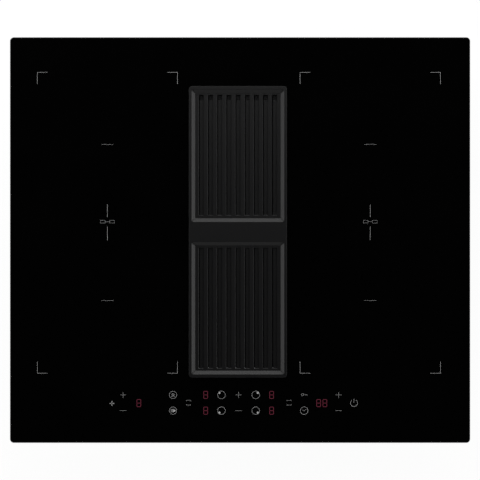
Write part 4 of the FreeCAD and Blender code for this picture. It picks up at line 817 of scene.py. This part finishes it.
for places in GRATINGS:
    boards = grating(*places)
    points.append(boards.reshape(-1, 3))
    faces.append(np.arange(4 * len(boards)).reshape(-1, 4) + count)
    count += 4 * len(boards)
grille = new_piece("suction_grille", np.concatenate(points), np.concatenate(faces), enamel,
                   "vent_cover", "black_enamel")
close_up(grille)

# painted shade: the pocket floors at the slots' ends take a second enamel, a little darker and
# smoother, so that they read as the shade deep in these pockets
pocket_shade, tree, shader, place = start("pocket_shade_enamel", IOR=1.5)
mist = add(tree, "TexNoise", {"Vector": place, "Scale": per(1.2), "Detail": 3.0}).outputs["Fac"]
surface(tree, shader, mist, "#0e0e0f", "#121213", smooth=0.19, rough=0.26)
grille.data.materials.append(pocket_shade)
# the faces on the pockets' floor take the painted-shade enamel
centres = np.empty(3 * len(grille.data.polygons))
grille.data.polygons.foreach_get("center", centres)
in_pocket = np.abs(centres[2::3] * 1000 - POCKET_FLOOR) < 0.01
grille.data.polygons.foreach_set("material_index", in_pocket.astype(np.int32))
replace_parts(grille, "vent_cover")

# Studio
# A pale floor, a light room whose ceiling over the glass is dark, and three soft lamps. The flat
# glass looks straight up at the ceiling, and the bevels look out at the bright walls.
FLOOR_REACH, FLOOR_LEVEL = 9.0, -0.0002
floor_mesh = bpy.data.meshes.new("floor")
floor_mesh.from_pydata([(x * FLOOR_REACH, y * FLOOR_REACH, FLOOR_LEVEL)
                        for x, y in ((-1, -1), (1, -1), (1, 1), (-1, 1))], [], [(0, 1, 2, 3)])
floor = bpy.data.objects.new("floor", floor_mesh)
bpy.context.scene.collection.objects.link(floor)
# matt white paint: seen or mirrored it is nearly white and keeps the part's shadow, and it throws
# back the lamps' light as plain pale paint does
PALE, FAINT, GLOW = 0.8, 0.16, 0.93
WHITE = (1, 1, 1, 1)
paint = bpy.data.materials.new("matt_white_paint")
paint.use_nodes = True
tree = paint.node_tree
tree.nodes.remove(tree.nodes["Principled BSDF"])
rays = add(tree, "LightPath").outputs
seen = add(tree, "Math", {0: rays["Is Camera Ray"], 1: rays["Is Glossy Ray"]}, operation="MAXIMUM")
seen = add(tree, "Math", {0: seen.outputs[0], 1: rays["Is Transmission Ray"]}, operation="MAXIMUM")
plain = add(tree, "BsdfDiffuse", {"Color": (PALE, PALE, PALE, 1)})
faint = add(tree, "BsdfDiffuse", {"Color": (FAINT, FAINT, FAINT, 1)})
white = add(tree, "Emission", {"Color": WHITE, "Strength": GLOW})
lit = add(tree, "AddShader", {0: faint.outputs[0], 1: white.outputs[0]})
pick = add(tree, "MixShader", {0: seen.outputs[0], 1: plain.outputs[0], 2: lit.outputs[0]})
tree.links.new(pick.outputs[0], tree.nodes["Material Output"].inputs["Surface"])
floor_mesh.materials.append(paint)

# the room: bright at the horizon and dark above, brighter behind than in front, a little
# brighter on the right
HORIZON_TOP, CEILING_FROM, CEILING = 0.08, 0.4, 0.004
FRONT_WALL, BACK_WALL, LEFT_WALL, RIGHT_WALL = 0.62, 2.15, 0.82, 1.0
world = bpy.data.worlds.new("room")
bpy.context.scene.world = world
world.use_nodes = True
tree = world.node_tree
way = add(tree, "SeparateXYZ", {0: add(tree, "TexCoord").outputs["Generated"]}).outputs
to_back = add(tree, "MapRange", {"Value": way[1], "From Min": -0.75, "From Max": 0.15,
                                 "To Min": FRONT_WALL, "To Max": BACK_WALL},
              interpolation_type="SMOOTHSTEP").outputs[0]
to_right = add(tree, "MapRange", {"Value": way[0], "From Min": -1.0, "From Max": 1.0,
                                  "To Min": LEFT_WALL, "To Max": RIGHT_WALL}).outputs[0]
upward = add(tree, "MapRange", {"Value": way[2], "From Min": HORIZON_TOP, "From Max": CEILING_FROM,
                                "To Min": 1.0, "To Max": CEILING},
             interpolation_type="SMOOTHSTEP").outputs[0]
walls = add(tree, "Math", {0: to_back, 1: to_right}, operation="MULTIPLY").outputs[0]
room = add(tree, "Math", {0: walls, 1: upward}, operation="MULTIPLY").outputs[0]
tree.links.new(room, tree.nodes["Background"].inputs["Strength"])
tree.nodes["Background"].inputs["Color"].default_value = WHITE

LAMP_AIM = 0.2


def lamp(name, azimuth, elevation, distance, size, power):
    """Square soft lamp that looks at the glass; azimuth 0 is the right, 90 the back."""
    data = bpy.data.lights.new(name, "AREA")
    data.size, data.energy = size, power
    item = bpy.data.objects.new(name, data)
    a, e = math.radians(azimuth), math.radians(elevation)
    item.location = (distance * math.cos(e) * math.cos(a), distance * math.cos(e) * math.sin(a),
                     LAMP_AIM + distance * math.sin(e))
    item.rotation_euler = (math.pi / 2 - e, 0, a + math.pi / 2)
    item.visible_camera = False
    bpy.context.scene.collection.objects.link(item)


lamp("lamp_right", azimuth=0, elevation=47, distance=2.6, size=2.2, power=13.5)
lamp("lamp_back", azimuth=90, elevation=47, distance=1.5, size=1.4, power=8.4)
lamp("lamp_left", azimuth=180, elevation=47, distance=2.6, size=2.2, power=13.5)

# Camera
# A long lens 4 m straight above the middle of the glass, with the controls at the bottom. Its frame
# is 615.4 mm wide on the glass.
SENSOR, DISTANCE, FIELD, GLASS_FACE = 36, 4, 0.6154, 0.209
SHIFT_X, SHIFT_Y = -0.0001, 0.0001
lens_data = bpy.data.cameras.new("camera")
lens_data.lens = SENSOR * DISTANCE / FIELD
camera = bpy.data.objects.new("camera", lens_data)
camera.location = (SHIFT_X, SHIFT_Y, GLASS_FACE + DISTANCE)
bpy.context.scene.collection.objects.link(camera)
bpy.context.scene.camera = camera
bpy.context.scene.view_settings.view_transform = "Standard"
